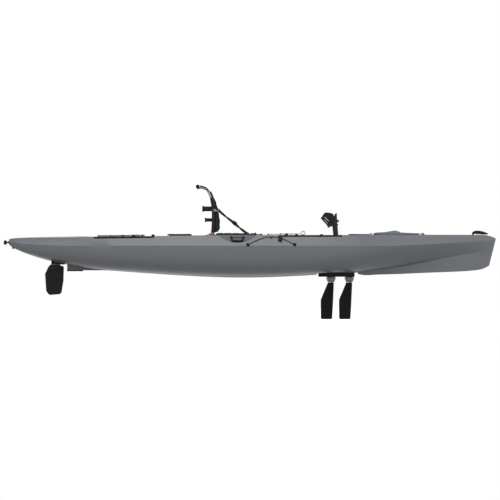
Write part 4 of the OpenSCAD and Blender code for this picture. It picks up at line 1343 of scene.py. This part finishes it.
@dataclass
class Cordage(SubAssembly):
    """Elastic cords that are part of the deck: the paddle keepers and the lacing over the tank well."""

    keeper: tuple[tuple[float, float], ...] = ((-16, 327), (30, 352), (144, 399), (207, 405), (286, 396))
    keeper_fore: tuple[tuple[float, float], ...] = ((322, 384), (378, 357), (434, 329))
    lacing: tuple[float, ...] = (-1500, -1380, -1260, -1140, -1060)
    knob: tuple[tuple[float, float], ...] = (
        (0.0, 7.0), (2.0, 7.0), (3.2, 4.6), (13.0, 4.6), (14.2, 6.8), (16.0, 7.0), (17.0, 5.6))
    knob_reach: float = 0.0075
    knob_inset: float = 0.007
    past_middle: float = 0.12
    proud_mm: float = 7.0
    hold_mm: float = 8.9
    part_mm: float = 3.5
    diameter: float = 0.006
    sides: int = 12

    def build(self) -> None:
        """Build the keepers and the lacing."""
        self.keepers()
        self.lace()

    def keepers(self) -> None:
        """Sweep each paddle keeper along the hull's side, between its stud, toggle and eyes."""
        tree = self.dresser.surface("hull_shell")
        pieces = []
        for side in Side:
            for k, route in enumerate((self.keeper, self.keeper_fore)):
                hits = [self.cast(tree, Vector((x * MM, side.value * 0.6, z * MM + KEEL)), side.inward)
                        for x, z in route]
                points = rounded([h[0] + side.out * (self.proud_mm * MM) for h in hits], 3)
                pieces.append(self.trim.cord(f"paddle_keeper_cord_{side.label}_{k}", points, "braided_cord_sheath",
                                             self.diameter, self.sides))
        self.dresser.unite(pieces, "paddle_keeper_braid", "boat", "braided_cord_sheath", "paddle_keeper_cords")

    def feet(self) -> dict[tuple[int, int], Vector]:
        """Find where the knobs of the lacing stand.

        Returns:
            The foot of each knob, by its row and the sign of its side.
        """
        bm = self.dresser.shape_of("tankwell_cord", 40)
        found = {}
        for i, x in enumerate(self.lacing):
            near = [v.co.copy() for v in bm.verts
                    if abs(v.co.x - x * MM) < self.knob_reach and abs(v.co.y) > self.past_middle]
            for side in Side:
                mine = [c for c in near if c.y * side.value > 0]
                far = max(abs(c.y) for c in mine)
                y = side.value * (far - self.knob_inset)
                found[(i, side.value)] = Vector((x * MM, y, min(c.z for c in mine)))
        bm.free()
        return found

    def lace(self) -> None:
        """Run the lacing from knob to knob across the tank well, with hooked knobs at its turns."""
        feet = self.feet()
        radii = [(k / (len(self.knob) - 1), r * MM) for k, (_, r) in enumerate(self.knob)]
        knobs = [self.dresser.shape(f"lacing_knob_{i}_{side}", tube([foot + UP * (z * MM) for z, _ in self.knob],
                                                                    lambda share: lookup(share, radii), 16),
                                    "moulded_black_nylon") for (i, side), foot in feet.items()]
        self.dresser.unite(knobs, "lacing_knobs", "boat", "moulded_black_nylon")
        cords = []
        for i in range(len(self.lacing) - 1):
            for s in (-1, 1):
                m = s * (1 if i % 2 == 0 else -1)
                rise = (self.hold_mm + s * self.part_mm) * MM
                a = feet[(i, m)] + Vector((self.diameter, 0, rise))
                b = feet[(i + 1, -m)] + Vector((-self.diameter, 0, rise))
                cords.append(self.trim.cord(f"lacing_{i}_{s}", [a.lerp(b, k / 12) for k in range(13)],
                                            "braided_cord_sheath", self.diameter, self.sides))
        self.dresser.unite(cords, "tankwell_lacing", "boat", "braided_cord_sheath", "tankwell_cord")


# The indices of two axes
X, Z = 0, 2


@dataclass(frozen=True)
class Pad:
    """A stuffed pad with sewn channels, by its names, its axes and its stuffing."""

    node: str
    name: str
    seams: str
    body: str
    faces: int
    runs: int
    channels: int
    cap_mm: float
    groove: float
    fill: float

    def point(self, run: float, y: float, out: float) -> Vector:
        """Return a point from its places across the channels, over the beam and out of the pad's face."""
        return Vector((run, y, out)) if self.faces == Z else Vector((out, y, run))

    def channel(self, share: float, width: float = 0.05) -> float:
        """Return how deep the sewing is pulled in at a share of the way across the channels.

        Args:
            share: The share, from 0 to 1.
            width: Half of a groove's width, as a share of a channel.

        Returns:
            The depth, from 0 to 1.
        """
        phase = share * self.channels
        off = abs(phase - round(phase))
        return math.exp(-(off / width) ** 2) if 0 < round(phase) < self.channels else 0.0


@dataclass(frozen=True)
class StrapLine:
    """The straight line of a backrest strap, in millimetres above the keel."""

    foot: Vector
    way: Vector
    up: Vector
    out: Vector

    def spot(self, start: float, further: float, across: float, proud: float) -> Vector:
        """Return a point by its distance along the strap in two steps, across it and out of it."""
        return at(*(self.foot + self.way * start + self.way * further + self.up * across + self.out * proud))


@dataclass
class Seat(SubAssembly):
    """The framed seat: tube frame, stuffed mesh pads, bumpers, straps and pull tab."""

    pivot: tuple[float, float] = (-372.0, 441.0)
    strap_y_mm: float = 240.0
    strap_foot: tuple[float, float] = (-20.0, 431.0)
    strap_head: tuple[float, float] = (-311.0, 665.0)
    strap_length: float = 413.0
    strap_half: float = 12.0
    strap_half_thick: float = 1.1
    strap_sag: float = 5.0
    strap_pin: float = 373.0
    buckle_share: float = 0.41
    tack_shares: tuple[float, ...] = (0.10, 0.135)
    seam_stitch: tuple[float, float, float] = (0.008, 0.0052, 0.0012)
    tack_stitch: tuple[float, float, float] = (0.0022, 0.0018, 0.0009)
    tab_stitch: tuple[float, float, float] = (0.004, 0.0026, 0.001)
    shrink_mm: float = 3.0
    seam_mm: range = range(-212, 213, 6)
    seam_clear: float = 0.08
    piping: float = 0.0065
    piping_inset: float = 0.0035
    piping_beyond: float = 0.17
    sleeve_y_mm: float = 219.0
    sleeve_radius: float = 0.0158
    sleeve_drop: float = 0.006
    cover_foot_mm: float = 404.0
    cover_head_mm: float = -122.0
    cover_thickness: float = 0.0026
    twist: tuple[tuple[float, float], ...] = ((0.14, 0), (0.25, 62), (0.36, 0), (0.48, 0), (0.66, 62), (0.84, 0))
    back_line: tuple[tuple[float, float], ...] = (
        (0, 8), (8, 130), (6, 249), (-12, 349), (-54, 434), (-102, 452), (-145, 458))
    hem: tuple[tuple[float, float], ...] = ((0.2220, 0.0148), (0.2310, 0.0122), (0.2356, 0.0060), (0.2366, 0.0005))
    skirt_line: tuple[tuple[float, float], ...] = ((8, 23), (56, 23), (57, 14), (40, 11), (27, 8), (20, 1), (9, -1))
    cushion: Pad = Pad("seat_pan", "seat_pad", "seat_pad_seam", "boat", Z, X, 5, 7.0, 0.0032, 0.55)
    backrest: Pad = Pad("seat_back_pad", "backrest_pad", "backrest_seam", "seat_back", X, Z, 6, 8.0, 0.0036, 0.6)

    def build(self) -> None:
        """Build the frame, pads and straps in the order that they lie on each other."""
        self.dresser.moulded("seat_base_frame", "dark_anodised_tube", 0.6, 40)
        self.dresser.moulded("seat_feet", "moulded_black_rubber", 1.6)
        self.dresser.moulded("seat_hinge_pins", "brushed_stainless", 0.5, 40)
        self.dresser.moulded("seat_back_frame", "clear_anodised_tube", 0.5, 40)
        self.dresser.moulded("seat_back_bar", "moulded_black_rubber", 1.6)
        self.dresser.moulded("seat_bumpers", "moulded_graphite_nylon", 1.6, 40)
        self.stuff(self.cushion, "seat_pad_piping")
        self.stuff(self.backrest, "backrest_piping")
        self.sleeves()
        self.head_cover()
        self.skirt()
        for side in Side:
            self.strap(side)
        self.tab()

    def stuff(self, pad: Pad, piping: str) -> None:
        """Swell a pad as cloth, sew its channels and bind its edges.

        Args:
            pad: The pad.
            piping: Name of its bound edge.
        """
        made = self.dresser.shape(pad.name, self.dresser.shape_of(pad.node, 60, False), "woven_seat_mesh")
        low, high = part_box(pad.node)
        swell(made, self.shrink_mm, pad.cap_mm)
        span = high[pad.runs] - low[pad.runs]
        press(made, lambda co, n: (pad.groove * pad.channel((co[pad.runs] - low[pad.runs]) / span)
                                   * max(0.0, n[pad.faces]) ** 0.5))
        self.dresser.place(made, pad.body, "woven_seat_mesh", pad.node)
        tree = BVHTree.FromObject(made, bpy.context.evaluated_depsgraph_get())
        way = DOWN if pad.faces == Z else AFT
        for k in range(1, pad.channels):
            run = along(low[pad.runs], high[pad.runs], k / pad.channels)
            starts = [pad.point(run, y * MM, high[pad.faces] + self.seam_clear) for y in self.seam_mm]
            line = [h[0] - way * 0.0002 for h in (self.cast(tree, s, way) for s in starts) if h]
            self.trim.sew(f"{pad.seams}_{k}", pad.body, "woven_seat_binding", line, *self.seam_stitch)
        self.bind(tree, pad, piping, low, high)

    def bind(self, tree: BVHTree, pad: Pad, name: str, low: Sequence[float], high: Sequence[float]) -> None:
        """Run a corded edge along both sides of a pad, found by rays from outside it.

        Args:
            tree: The pad's surface.
            pad: The pad.
            name: Name of the piping.
            low: The pad's lowest corner.
            high: The pad's highest corner.
        """
        middle = (low[pad.faces] + high[pad.faces]) / 2
        pieces = []
        for side in Side:
            line = []
            for k in range(33):
                run = along(low[pad.runs], high[pad.runs], 0.02 + 0.96 * k / 32)
                rays = (self.cast(tree, pad.point(run, side.value * 0.4, middle + j * 0.006 * 2.2), side.inward, 300)
                        for j in range(-14, 15))
                edge = [h[0] for h in rays if h and abs(h[0].y) > self.piping_beyond]
                if edge:
                    line.append(max(edge, key=lambda spot: spot[pad.faces]) - side.out * self.piping_inset)
            label = f"{name}_{side.label}"
            pieces.append(self.trim.cord(label, rounded(line, 1), "woven_seat_binding", self.piping, 8))
        self.dresser.unite(pieces, name, pad.body, "woven_seat_binding")

    def on_back(self, x: float, y: float, z: float) -> Vector:
        """Return a point by its millimetres from the backrest's pivot."""
        return at(self.pivot[0] + x, y, self.pivot[1] + z)

    def sleeves(self) -> None:
        """Wrap the lower part of each back tube in the pad's stitched sleeve."""
        pieces = []
        for side in Side:
            path = [self.on_back(x + 3, side.value * self.sleeve_y_mm, z) for x, z in self.back_line[:4]]
            path[0].z -= self.sleeve_drop
            sleeve = tube(rounded(path), self.sleeve_radius, 16)
            pieces.append(self.dresser.shape("sleeve_" + side.label, sleeve, "woven_seat_mesh"))
        self.dresser.unite(pieces, "backrest_sleeves", "seat_back", "woven_seat_mesh")

    def head_cover(self) -> None:
        """Lead the pad's cover over the front of the tube up to the grip, hollow in its middle and hemmed."""
        line = rounded([self.on_back(x, 0, z) for x, z in self.back_line[2:]], 3)
        inner = [(0.0174 * j, 0.0140 - 0.009 * (1 - (j / 12) ** 2)) for j in range(-12, 13)]
        columns = [(-y, off) for y, off in self.hem[::-1]] + inner + list(self.hem)
        bm = bmesh.new()
        rows = []
        for a, b, c in zip(line, line[1:], line[2:]):
            rise, aft = (b.z - KEEL) / MM - self.pivot[1], b.x / MM - self.pivot[0]
            if rise >= self.cover_foot_mm and aft >= self.cover_head_mm:
                ahead = (c - a).normalized()
                front = Vector((ahead.z, 0, -ahead.x))
                rows.append([bm.verts.new(b + front * off + Vector((0, y, 0))) for y, off in columns])
        for low, high in zip(rows, rows[1:]):
            for j in range(len(columns) - 1):
                bm.faces.new((low[j], low[j + 1], high[j + 1], high[j]))
        bmesh.ops.recalc_face_normals(bm, faces=bm.faces)
        bmesh.ops.solidify(bm, geom=bm.faces[:], thickness=self.cover_thickness)
        smooth(bm, 60)
        cover = self.dresser.shape("backrest_head_cover", bm, "woven_seat_mesh")
        self.dresser.place(cover, "seat_back", "woven_seat_mesh")

    def skirt(self) -> None:
        """Close the foot of the backrest's pad with a skirt."""
        rings = [[self.on_back(x, 17.0 * j, z) for x, z in self.skirt_line] for j in range(-12, 13)]
        skirt = self.dresser.shape("backrest_skirt", loft(rings, 60), "woven_seat_mesh")
        self.dresser.place(skirt, "seat_back", "woven_seat_mesh")

    def strap(self, side: Side) -> None:
        """Make a backrest strap: its webbing, its bar tacks and a ladder-lock buckle.

        Args:
            side: The strap's side.
        """
        foot = Vector((self.strap_foot[0], side.value * self.strap_y_mm, self.strap_foot[1]))
        head = Vector((self.strap_head[0], side.value * self.strap_y_mm, self.strap_head[1]))
        way = (head - foot).normalized()
        line = StrapLine(foot, way, Vector((way.z, 0, -way.x)), side.out)
        body = "strap_" + side.label
        self.webbing(side, line, body)
        for j, share in enumerate(self.tack_shares):
            tack = [line.spot(self.strap_pin * share, 0, s * 10.0, 1.4) for s in (-1.0, -0.5, 0, 0.5, 1.0)]
            self.trim.sew(f"strap_bartack_{side.label}_{j}", body, "woven_orange_webbing", tack, *self.tack_stitch)
        middle = self.strap_pin * 0.46
        bars = [tube([line.spot(middle, s, t * 16.5, 5.6) for t in (-1, -0.4, 0.4, 1)], 0.0021)
                for s in (-17.0, -6.0, 6.0, 17.0)]
        bars += [tube([line.spot(middle, t, s * 16.0, 5.4) for t in (-21, -8, 8, 21)], 0.0023) for s in (-1, 1)]
        parts = [self.dresser.shape(f"buckle_{side.label}_{k}", bar, "moulded_black_nylon")
                 for k, bar in enumerate(bars)]
        self.dresser.unite(parts, "strap_ladder_lock_" + side.label, body, "moulded_black_nylon")

    def sag(self, share: float) -> float:
        """Return how far a strap hangs between its foot, buckle and guide.

        Args:
            share: The share of the way up the strap.

        Returns:
            The drop in millimetres.
        """
        if share < self.buckle_share:
            return self.strap_sag * math.sin(math.pi * (share / self.buckle_share))
        return self.strap_sag * (0.7 * math.sin(math.pi * min(1.0, (share - self.buckle_share) / 0.49)))

    def webbing(self, side: Side, line: StrapLine, body: str) -> None:
        """Loft a strap that twists on its way up and lies flat at its foot, its buckle and its guide.

        Args:
            side: The strap's side.
            line: Its straight line.
            body: The body that it rides on.
        """
        shares = [k / 6 for k in range(-6, 7)]
        rings = []
        for k in range(97):
            turn = math.radians(lookup(k / 96, self.twist))
            across = line.up * math.cos(turn) + line.out * math.sin(turn)
            proud = (line.out * math.cos(turn) - line.up * math.sin(turn)) * self.strap_half_thick
            middle = line.foot + line.way * (self.strap_length * (k / 96)) - line.up * self.sag(k / 96)
            front = [at(*(middle + across * (self.strap_half * u) + proud)) for u in shares]
            rings.append(front + [at(*(middle + across * (self.strap_half * u) - proud)) for u in shares[::-1]])
        web = self.dresser.shape("strap_web_" + side.label, loft(rings), "woven_black_webbing")
        eye = self.dresser.shape("strap_eye_" + side.label,
                                 tube([line.spot(0, 0, 0, t) for t in (-6, -3, 3, 6)], 0.0135, 20),
                                 "woven_black_webbing")
        self.dresser.unite([web, eye], f"strap_{side.label}_webbing", body, "woven_black_webbing",
                           "seat_strap_" + side.label)

    def tab(self) -> None:
        """Re-make the orange pull tab with its row of stitches."""
        self.dresser.moulded("seat_pull_tab", "woven_orange_webbing", 0.8)
        low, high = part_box("seat_pull_tab")
        line = [Vector((along(low[0], high[0], k / 8, 0.004), low[1] - 0.0002, high[2] - 0.005)) for k in range(9)]
        self.trim.sew("seat_pull_tab_stitches", "boat", "woven_black_webbing", line, *self.tab_stitch)


@dataclass
class Drive(SubAssembly):
    """The pedal drive: plate, spine, cranks, pedals, latches, drums and fins."""

    fin_span: float = 404.0
    fin_top: float = 37.0
    fin_chord: float = 110.0
    mast_x: float = 6.0
    mast_width: float = 15.0
    sleeve: float = 8.0
    hub_z: float = -12.0
    hubs: tuple[tuple[str, float], ...] = (("front", 987.0), ("rear", 805.0))
    cover_screws: tuple[tuple[float, float], ...] = ((0.3, 0.25), (0.7, 0.25), (0.35, 0.5), (0.65, 0.5), (0.45, 0.72))
    stations: int = 26
    battens: int = 7
    tread_rows: int = 6
    tread_pitch: float = 0.0105
    wall: float = 0.6
    least: float = 2.2
    rim: float = 0.9

    def build(self) -> None:
        """Build the drive from the hull down and then up to the pedals."""
        self.dresser.moulded("drive_plate", "moulded_coarse_black_nylon", 1.2)
        self.dresser.moulded("drive_spine", "moulded_black_nylon", 2.2, 32, 3)
        self.dresser.moulded("drive_axle", "brushed_stainless", 0.6, 40)
        for side in Side:
            self.dresser.moulded("crank_" + side.label, "dark_anodised_tube", 2.0, 32, 3)
            self.dresser.moulded("pedal_" + side.label, "moulded_black_nylon", 1.6)
            self.dresser.moulded("drive_latch_" + side.label, "moulded_hub_nylon", 1.2)
            self.treads(side)
        for label, x in self.hubs:
            self.dresser.moulded("fin_hub_" + label, "moulded_hub_nylon", 1.0, 40)
            self.fin(label, x)
            self.stiffen(label, x)
        low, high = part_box("drive_spine")
        hits: list[Hit] = []
        for side in Side:
            starts = [Vector((along(low[0], high[0], fore), side.value * 0.3, along(low[2], high[2], rise)))
                      for fore, rise in self.cover_screws]
            hits += self.hits("drive_spine", starts, side.inward, 0.7)
        self.screws("spine_cover_screws", hits, 4.2)

    def treads(self, side: Side) -> None:
        """Raise rows of domes across the face of a pedal, where the sole presses.

        Args:
            side: The pedal's side.
        """
        node = "pedal_" + side.label
        low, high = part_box(node)
        middle = (low[1] + high[1]) / 2
        starts = [Vector((low[0] - 0.2, middle + j * self.tread_pitch, along(low[2], high[2], 0.30 + 0.105 * i)))
                  for i in range(self.tread_rows) for j in range(-4, 5)]
        self.trim.run(self.trim.domes, "pedal_tread_" + side.label, "foot_pedal_" + side.label, "ribbed_grip_rubber",
                      self.hits(node, starts, FORE), Dome_Radius=0.0042, Flatness=0.45)

    def edges(self, down: float) -> tuple[float, float]:
        """Return the edges of a fin at a depth below its drum.

        Args:
            down: The depth in millimetres.

        Returns:
            The trailing and the leading edge, in millimetres from the drum's axis.
        """
        span, aft = self.fin_span, 8 - self.fin_chord
        lead = lookup(down, ((37, 29), (70, 28), (span - 8, 13), (span - 2, 8), (span, 4)))
        trail = lookup(down, ((37, -30), (span * 210 / 404, aft), (span - 14, aft), (span - 4, aft + 6),
                              (span, aft + 12)))
        return trail, lead

    def fin(self, label: str, x: float) -> None:
        """Loft a flexible fin: thick over its mast and thin at its edges.

        Args:
            label: The fin, front or rear.
            x: The place of its drum.
        """
        across = [i / 16 for i in range(17)]
        rings = []
        for k in range(self.stations + 1):
            down = self.fin_top + (self.fin_span - self.fin_top) * k / self.stations
            trail, lead = self.edges(down)
            ring = []
            for sign, shares in ((1, across), (-1, across[-2:0:-1])):
                for u in shares:
                    px = trail + (lead - trail) * u
                    over_mast = self.sleeve * math.exp(-((px - self.mast_x) / self.mast_width) ** 2) + self.wall
                    thick = max(self.least, over_mast) if 0 < u < 1 else self.rim
                    ring.append(at(x + px, sign * thick, self.hub_z - down))
            rings.append(ring)
        blade = self.dresser.shape(f"fin_{label}_blade", loft(rings, 45), "moulded_black_rubber")
        self.dresser.place(blade, "fin_" + label, "moulded_black_rubber", "fin_blade_" + label)

    def stiffen(self, label: str, x: float) -> None:
        """Lay battens across both faces of a fin.

        Args:
            label: The fin, front or rear.
            x: The place of its drum.
        """
        pieces = []
        for i in range(self.battens):
            down = 80 + (self.fin_span - 130) * i / (self.battens - 1)
            trail, _ = self.edges(down)
            for s in (-1, 1):
                path = [at(x - 12 + (trail + 20) * t, s * (3.1 - 1.2 * t), self.hub_z - down - 16 * t)
                        for t in (0, 0.25, 0.5, 0.75, 1)]
                pieces.append(self.trim.cord(f"fin_rib_{label}_{i}_{s}", path, "ribbed_grip_rubber", 0.0022, 6))
        self.dresser.unite(pieces, f"fin_{label}_battens", "fin_" + label, "ribbed_grip_rubber")


@dataclass
class Rudder(SubAssembly):
    """The folding rudder at the stern."""

    screw_rows: tuple[float, ...] = (0.78, 1)
    screw_y: float = 0.021
    screw_margin: float = 0.012

    def build(self) -> None:
        """Re-make the bracket, yoke and blade and add the bracket's screws from below."""
        self.dresser.moulded("rudder_bracket", "moulded_black_nylon", 1.2)
        self.dresser.moulded("rudder_yoke", "moulded_graphite_nylon", 1.4)
        self.dresser.moulded("rudder_blade", "moulded_coarse_black_nylon", 1.8, 32, 3)
        low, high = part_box("rudder_bracket")
        starts = [Vector((along(low[0], high[0], row, self.screw_margin), side.value * self.screw_y, low[2] - CLEAR))
                  for row in self.screw_rows for side in Side]
        self.screws("rudder_bracket_screws", self.hits("rudder_bracket", starts, UP), 3.6)


@dataclass
class Steering(SubAssembly):
    """The steering lever and the two pulls that raise and lower the rudder."""

    post: tuple[float, float] = (0.112, 0.287)
    screw_ring: float = 0.0155
    screw_turns: tuple[float, ...] = (-70, 0, 70)

    def build(self) -> None:
        """Re-make the lever, its base and the pulls, and set the screws of the lever's flange."""
        self.dresser.moulded("steering_base", "moulded_graphite_nylon", 1.2)
        self.dresser.moulded("steering_lever", "moulded_black_nylon", 2.0, 32, 3)
        for node in ("rudder_pull_up", "rudder_pull_down"):
            self.dresser.moulded(node, "moulded_black_nylon", 1.0)
        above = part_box("steering_base")[1][2] + CLEAR
        starts = circle(*self.post, above, self.screw_ring, [math.radians(turn) for turn in self.screw_turns])
        self.screws("steering_base_screws", self.hits("steering_base", starts, DOWN, FLAT), 2.2)


@dataclass
class Studio:
    """A pale floor, soft lamps and the camera at the photograph's side view."""

    distance_m: float = 36.0
    lens_mm: float = 260.74
    eye_m: float = 0.688
    key_watts: float = 450.0
    fill_watts: float = 130.0
    sky: float = 0.38
    aim: tuple[float, float, float] = (0, 0, 0.6)

    def build(self) -> None:
        """Build the world, floor, lamps and camera."""
        self.camera()
        self.world()
        self.floor()
        self.lamp("key", (-1.5, -5.0, 7.0), 7.0, self.key_watts)
        self.lamp("fill", (5.0, -7.0, 3.0), 5.0, self.fill_watts)
        bpy.context.scene.view_settings.view_transform = "Standard"

    def camera(self) -> None:
        """Set the camera level, square to the boat's starboard side."""
        data = bpy.data.cameras.new("side_view")
        data.lens = self.lens_mm
        data.sensor_width = 36.0
        made = link("side_view", data)
        made.location = (0.0, -self.distance_m, self.eye_m)
        made.rotation_euler = (math.pi / 2, 0.0, 0.0)
        bpy.context.scene.camera = made

    def seen(self, tree: bpy.types.NodeTree) -> bpy.types.NodeSocket:
        """Tell the rays that show a background from those that light the boat.

        Args:
            tree: The tree that takes the nodes.

        Returns:
            A factor that is 1 for camera, mirror and transmitted rays.
        """
        path = add(tree, "ShaderNodeLightPath")
        first = add(tree, "ShaderNodeMath", {0: path.outputs["Is Camera Ray"], 1: path.outputs["Is Glossy Ray"]},
                    operation="MAXIMUM")
        return add(tree, "ShaderNodeMath", {0: first.outputs[0], 1: path.outputs["Is Transmission Ray"]},
                   operation="MAXIMUM").outputs[0]

    def world(self) -> None:
        """Light the boat evenly from all round, with white behind it."""
        world = bpy.data.worlds.new("studio")
        world.use_nodes = True
        tree = world.node_tree
        tree.nodes.clear()
        light = add(tree, "ShaderNodeBackground", {"Color": (1, 1, 1, 1), "Strength": self.sky})
        white = add(tree, "ShaderNodeBackground", {"Color": (1, 1, 1, 1), "Strength": 1.0})
        mix = add(tree, "ShaderNodeMixShader", {0: self.seen(tree), 1: light.outputs[0], 2: white.outputs[0]})
        add(tree, "ShaderNodeOutputWorld", {"Surface": mix.outputs[0]})
        bpy.context.scene.world = world

    def floor(self) -> None:
        """Lay a pale floor under the fins that shows white and keeps the boat's shadow."""
        bm = bmesh.new()
        bmesh.ops.create_grid(bm, x_segments=8, y_segments=8, size=7.0)
        material = bpy.data.materials.new("pale_matt_floor")
        material.use_nodes = True
        tree = material.node_tree
        tree.nodes.clear()
        body = add(tree, "ShaderNodeBsdfDiffuse", {"Color": linear("#77716a")})
        pale = add(tree, "ShaderNodeBsdfDiffuse", {"Color": linear("#f2f2f2")})
        glow = add(tree, "ShaderNodeEmission", {"Color": (1, 1, 1, 1), "Strength": 0.8})
        lit = add(tree, "ShaderNodeAddShader", {0: pale.outputs[0], 1: glow.outputs[0]})
        mix = add(tree, "ShaderNodeMixShader", {0: self.seen(tree), 1: body.outputs[0], 2: lit.outputs[0]})
        add(tree, "ShaderNodeOutputMaterial", {"Surface": mix.outputs[0]})
        floor = piece_from("studio_floor", bm, material)
        floor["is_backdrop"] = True

    def lamp(self, name: str, place: tuple[float, float, float], size: float, watts: float) -> None:
        """Hang a soft square lamp that faces the boat.

        Args:
            name: The lamp's name.
            place: Where it hangs.
            size: Its side, in metres.
            watts: Its power.
        """
        data = bpy.data.lights.new(name, "AREA")
        data.size = size
        data.energy = watts
        made = link(name, data)
        made.location = place
        made.rotation_euler = (Vector(self.aim) - Vector(place)).to_track_quat("-Z", "Y").to_euler()


def keep_size(name: str, sizes: dict[str, Any]) -> None:
    """Note the whole object's box under a name.

    Args:
        name: The box's name, cad or visual.
        sizes: The boxes noted so far.
    """
    sizes[name] = [list(map(float, corner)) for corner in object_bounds()]


def main() -> None:
    """Load the frame, then build the studio and each sub-assembly in order."""
    logging.basicConfig(level=logging.INFO, format="%(message)s")
    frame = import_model()
    sizes: dict[str, Any] = {}
    keep_size("cad", sizes)
    Studio().build()
    dresser = Dresser(frame, Locker())
    trim = Trimmings(dresser)
    for kind in (Hull, DeckFittings, Hatches, Handles, Cordage, Seat, Drive, Rudder, Steering):
        kind(dresser, trim).build()
        LOG.info("built %s", kind.__name__)
    keep_size("visual", sizes)


if __name__ == "__main__":
    main()
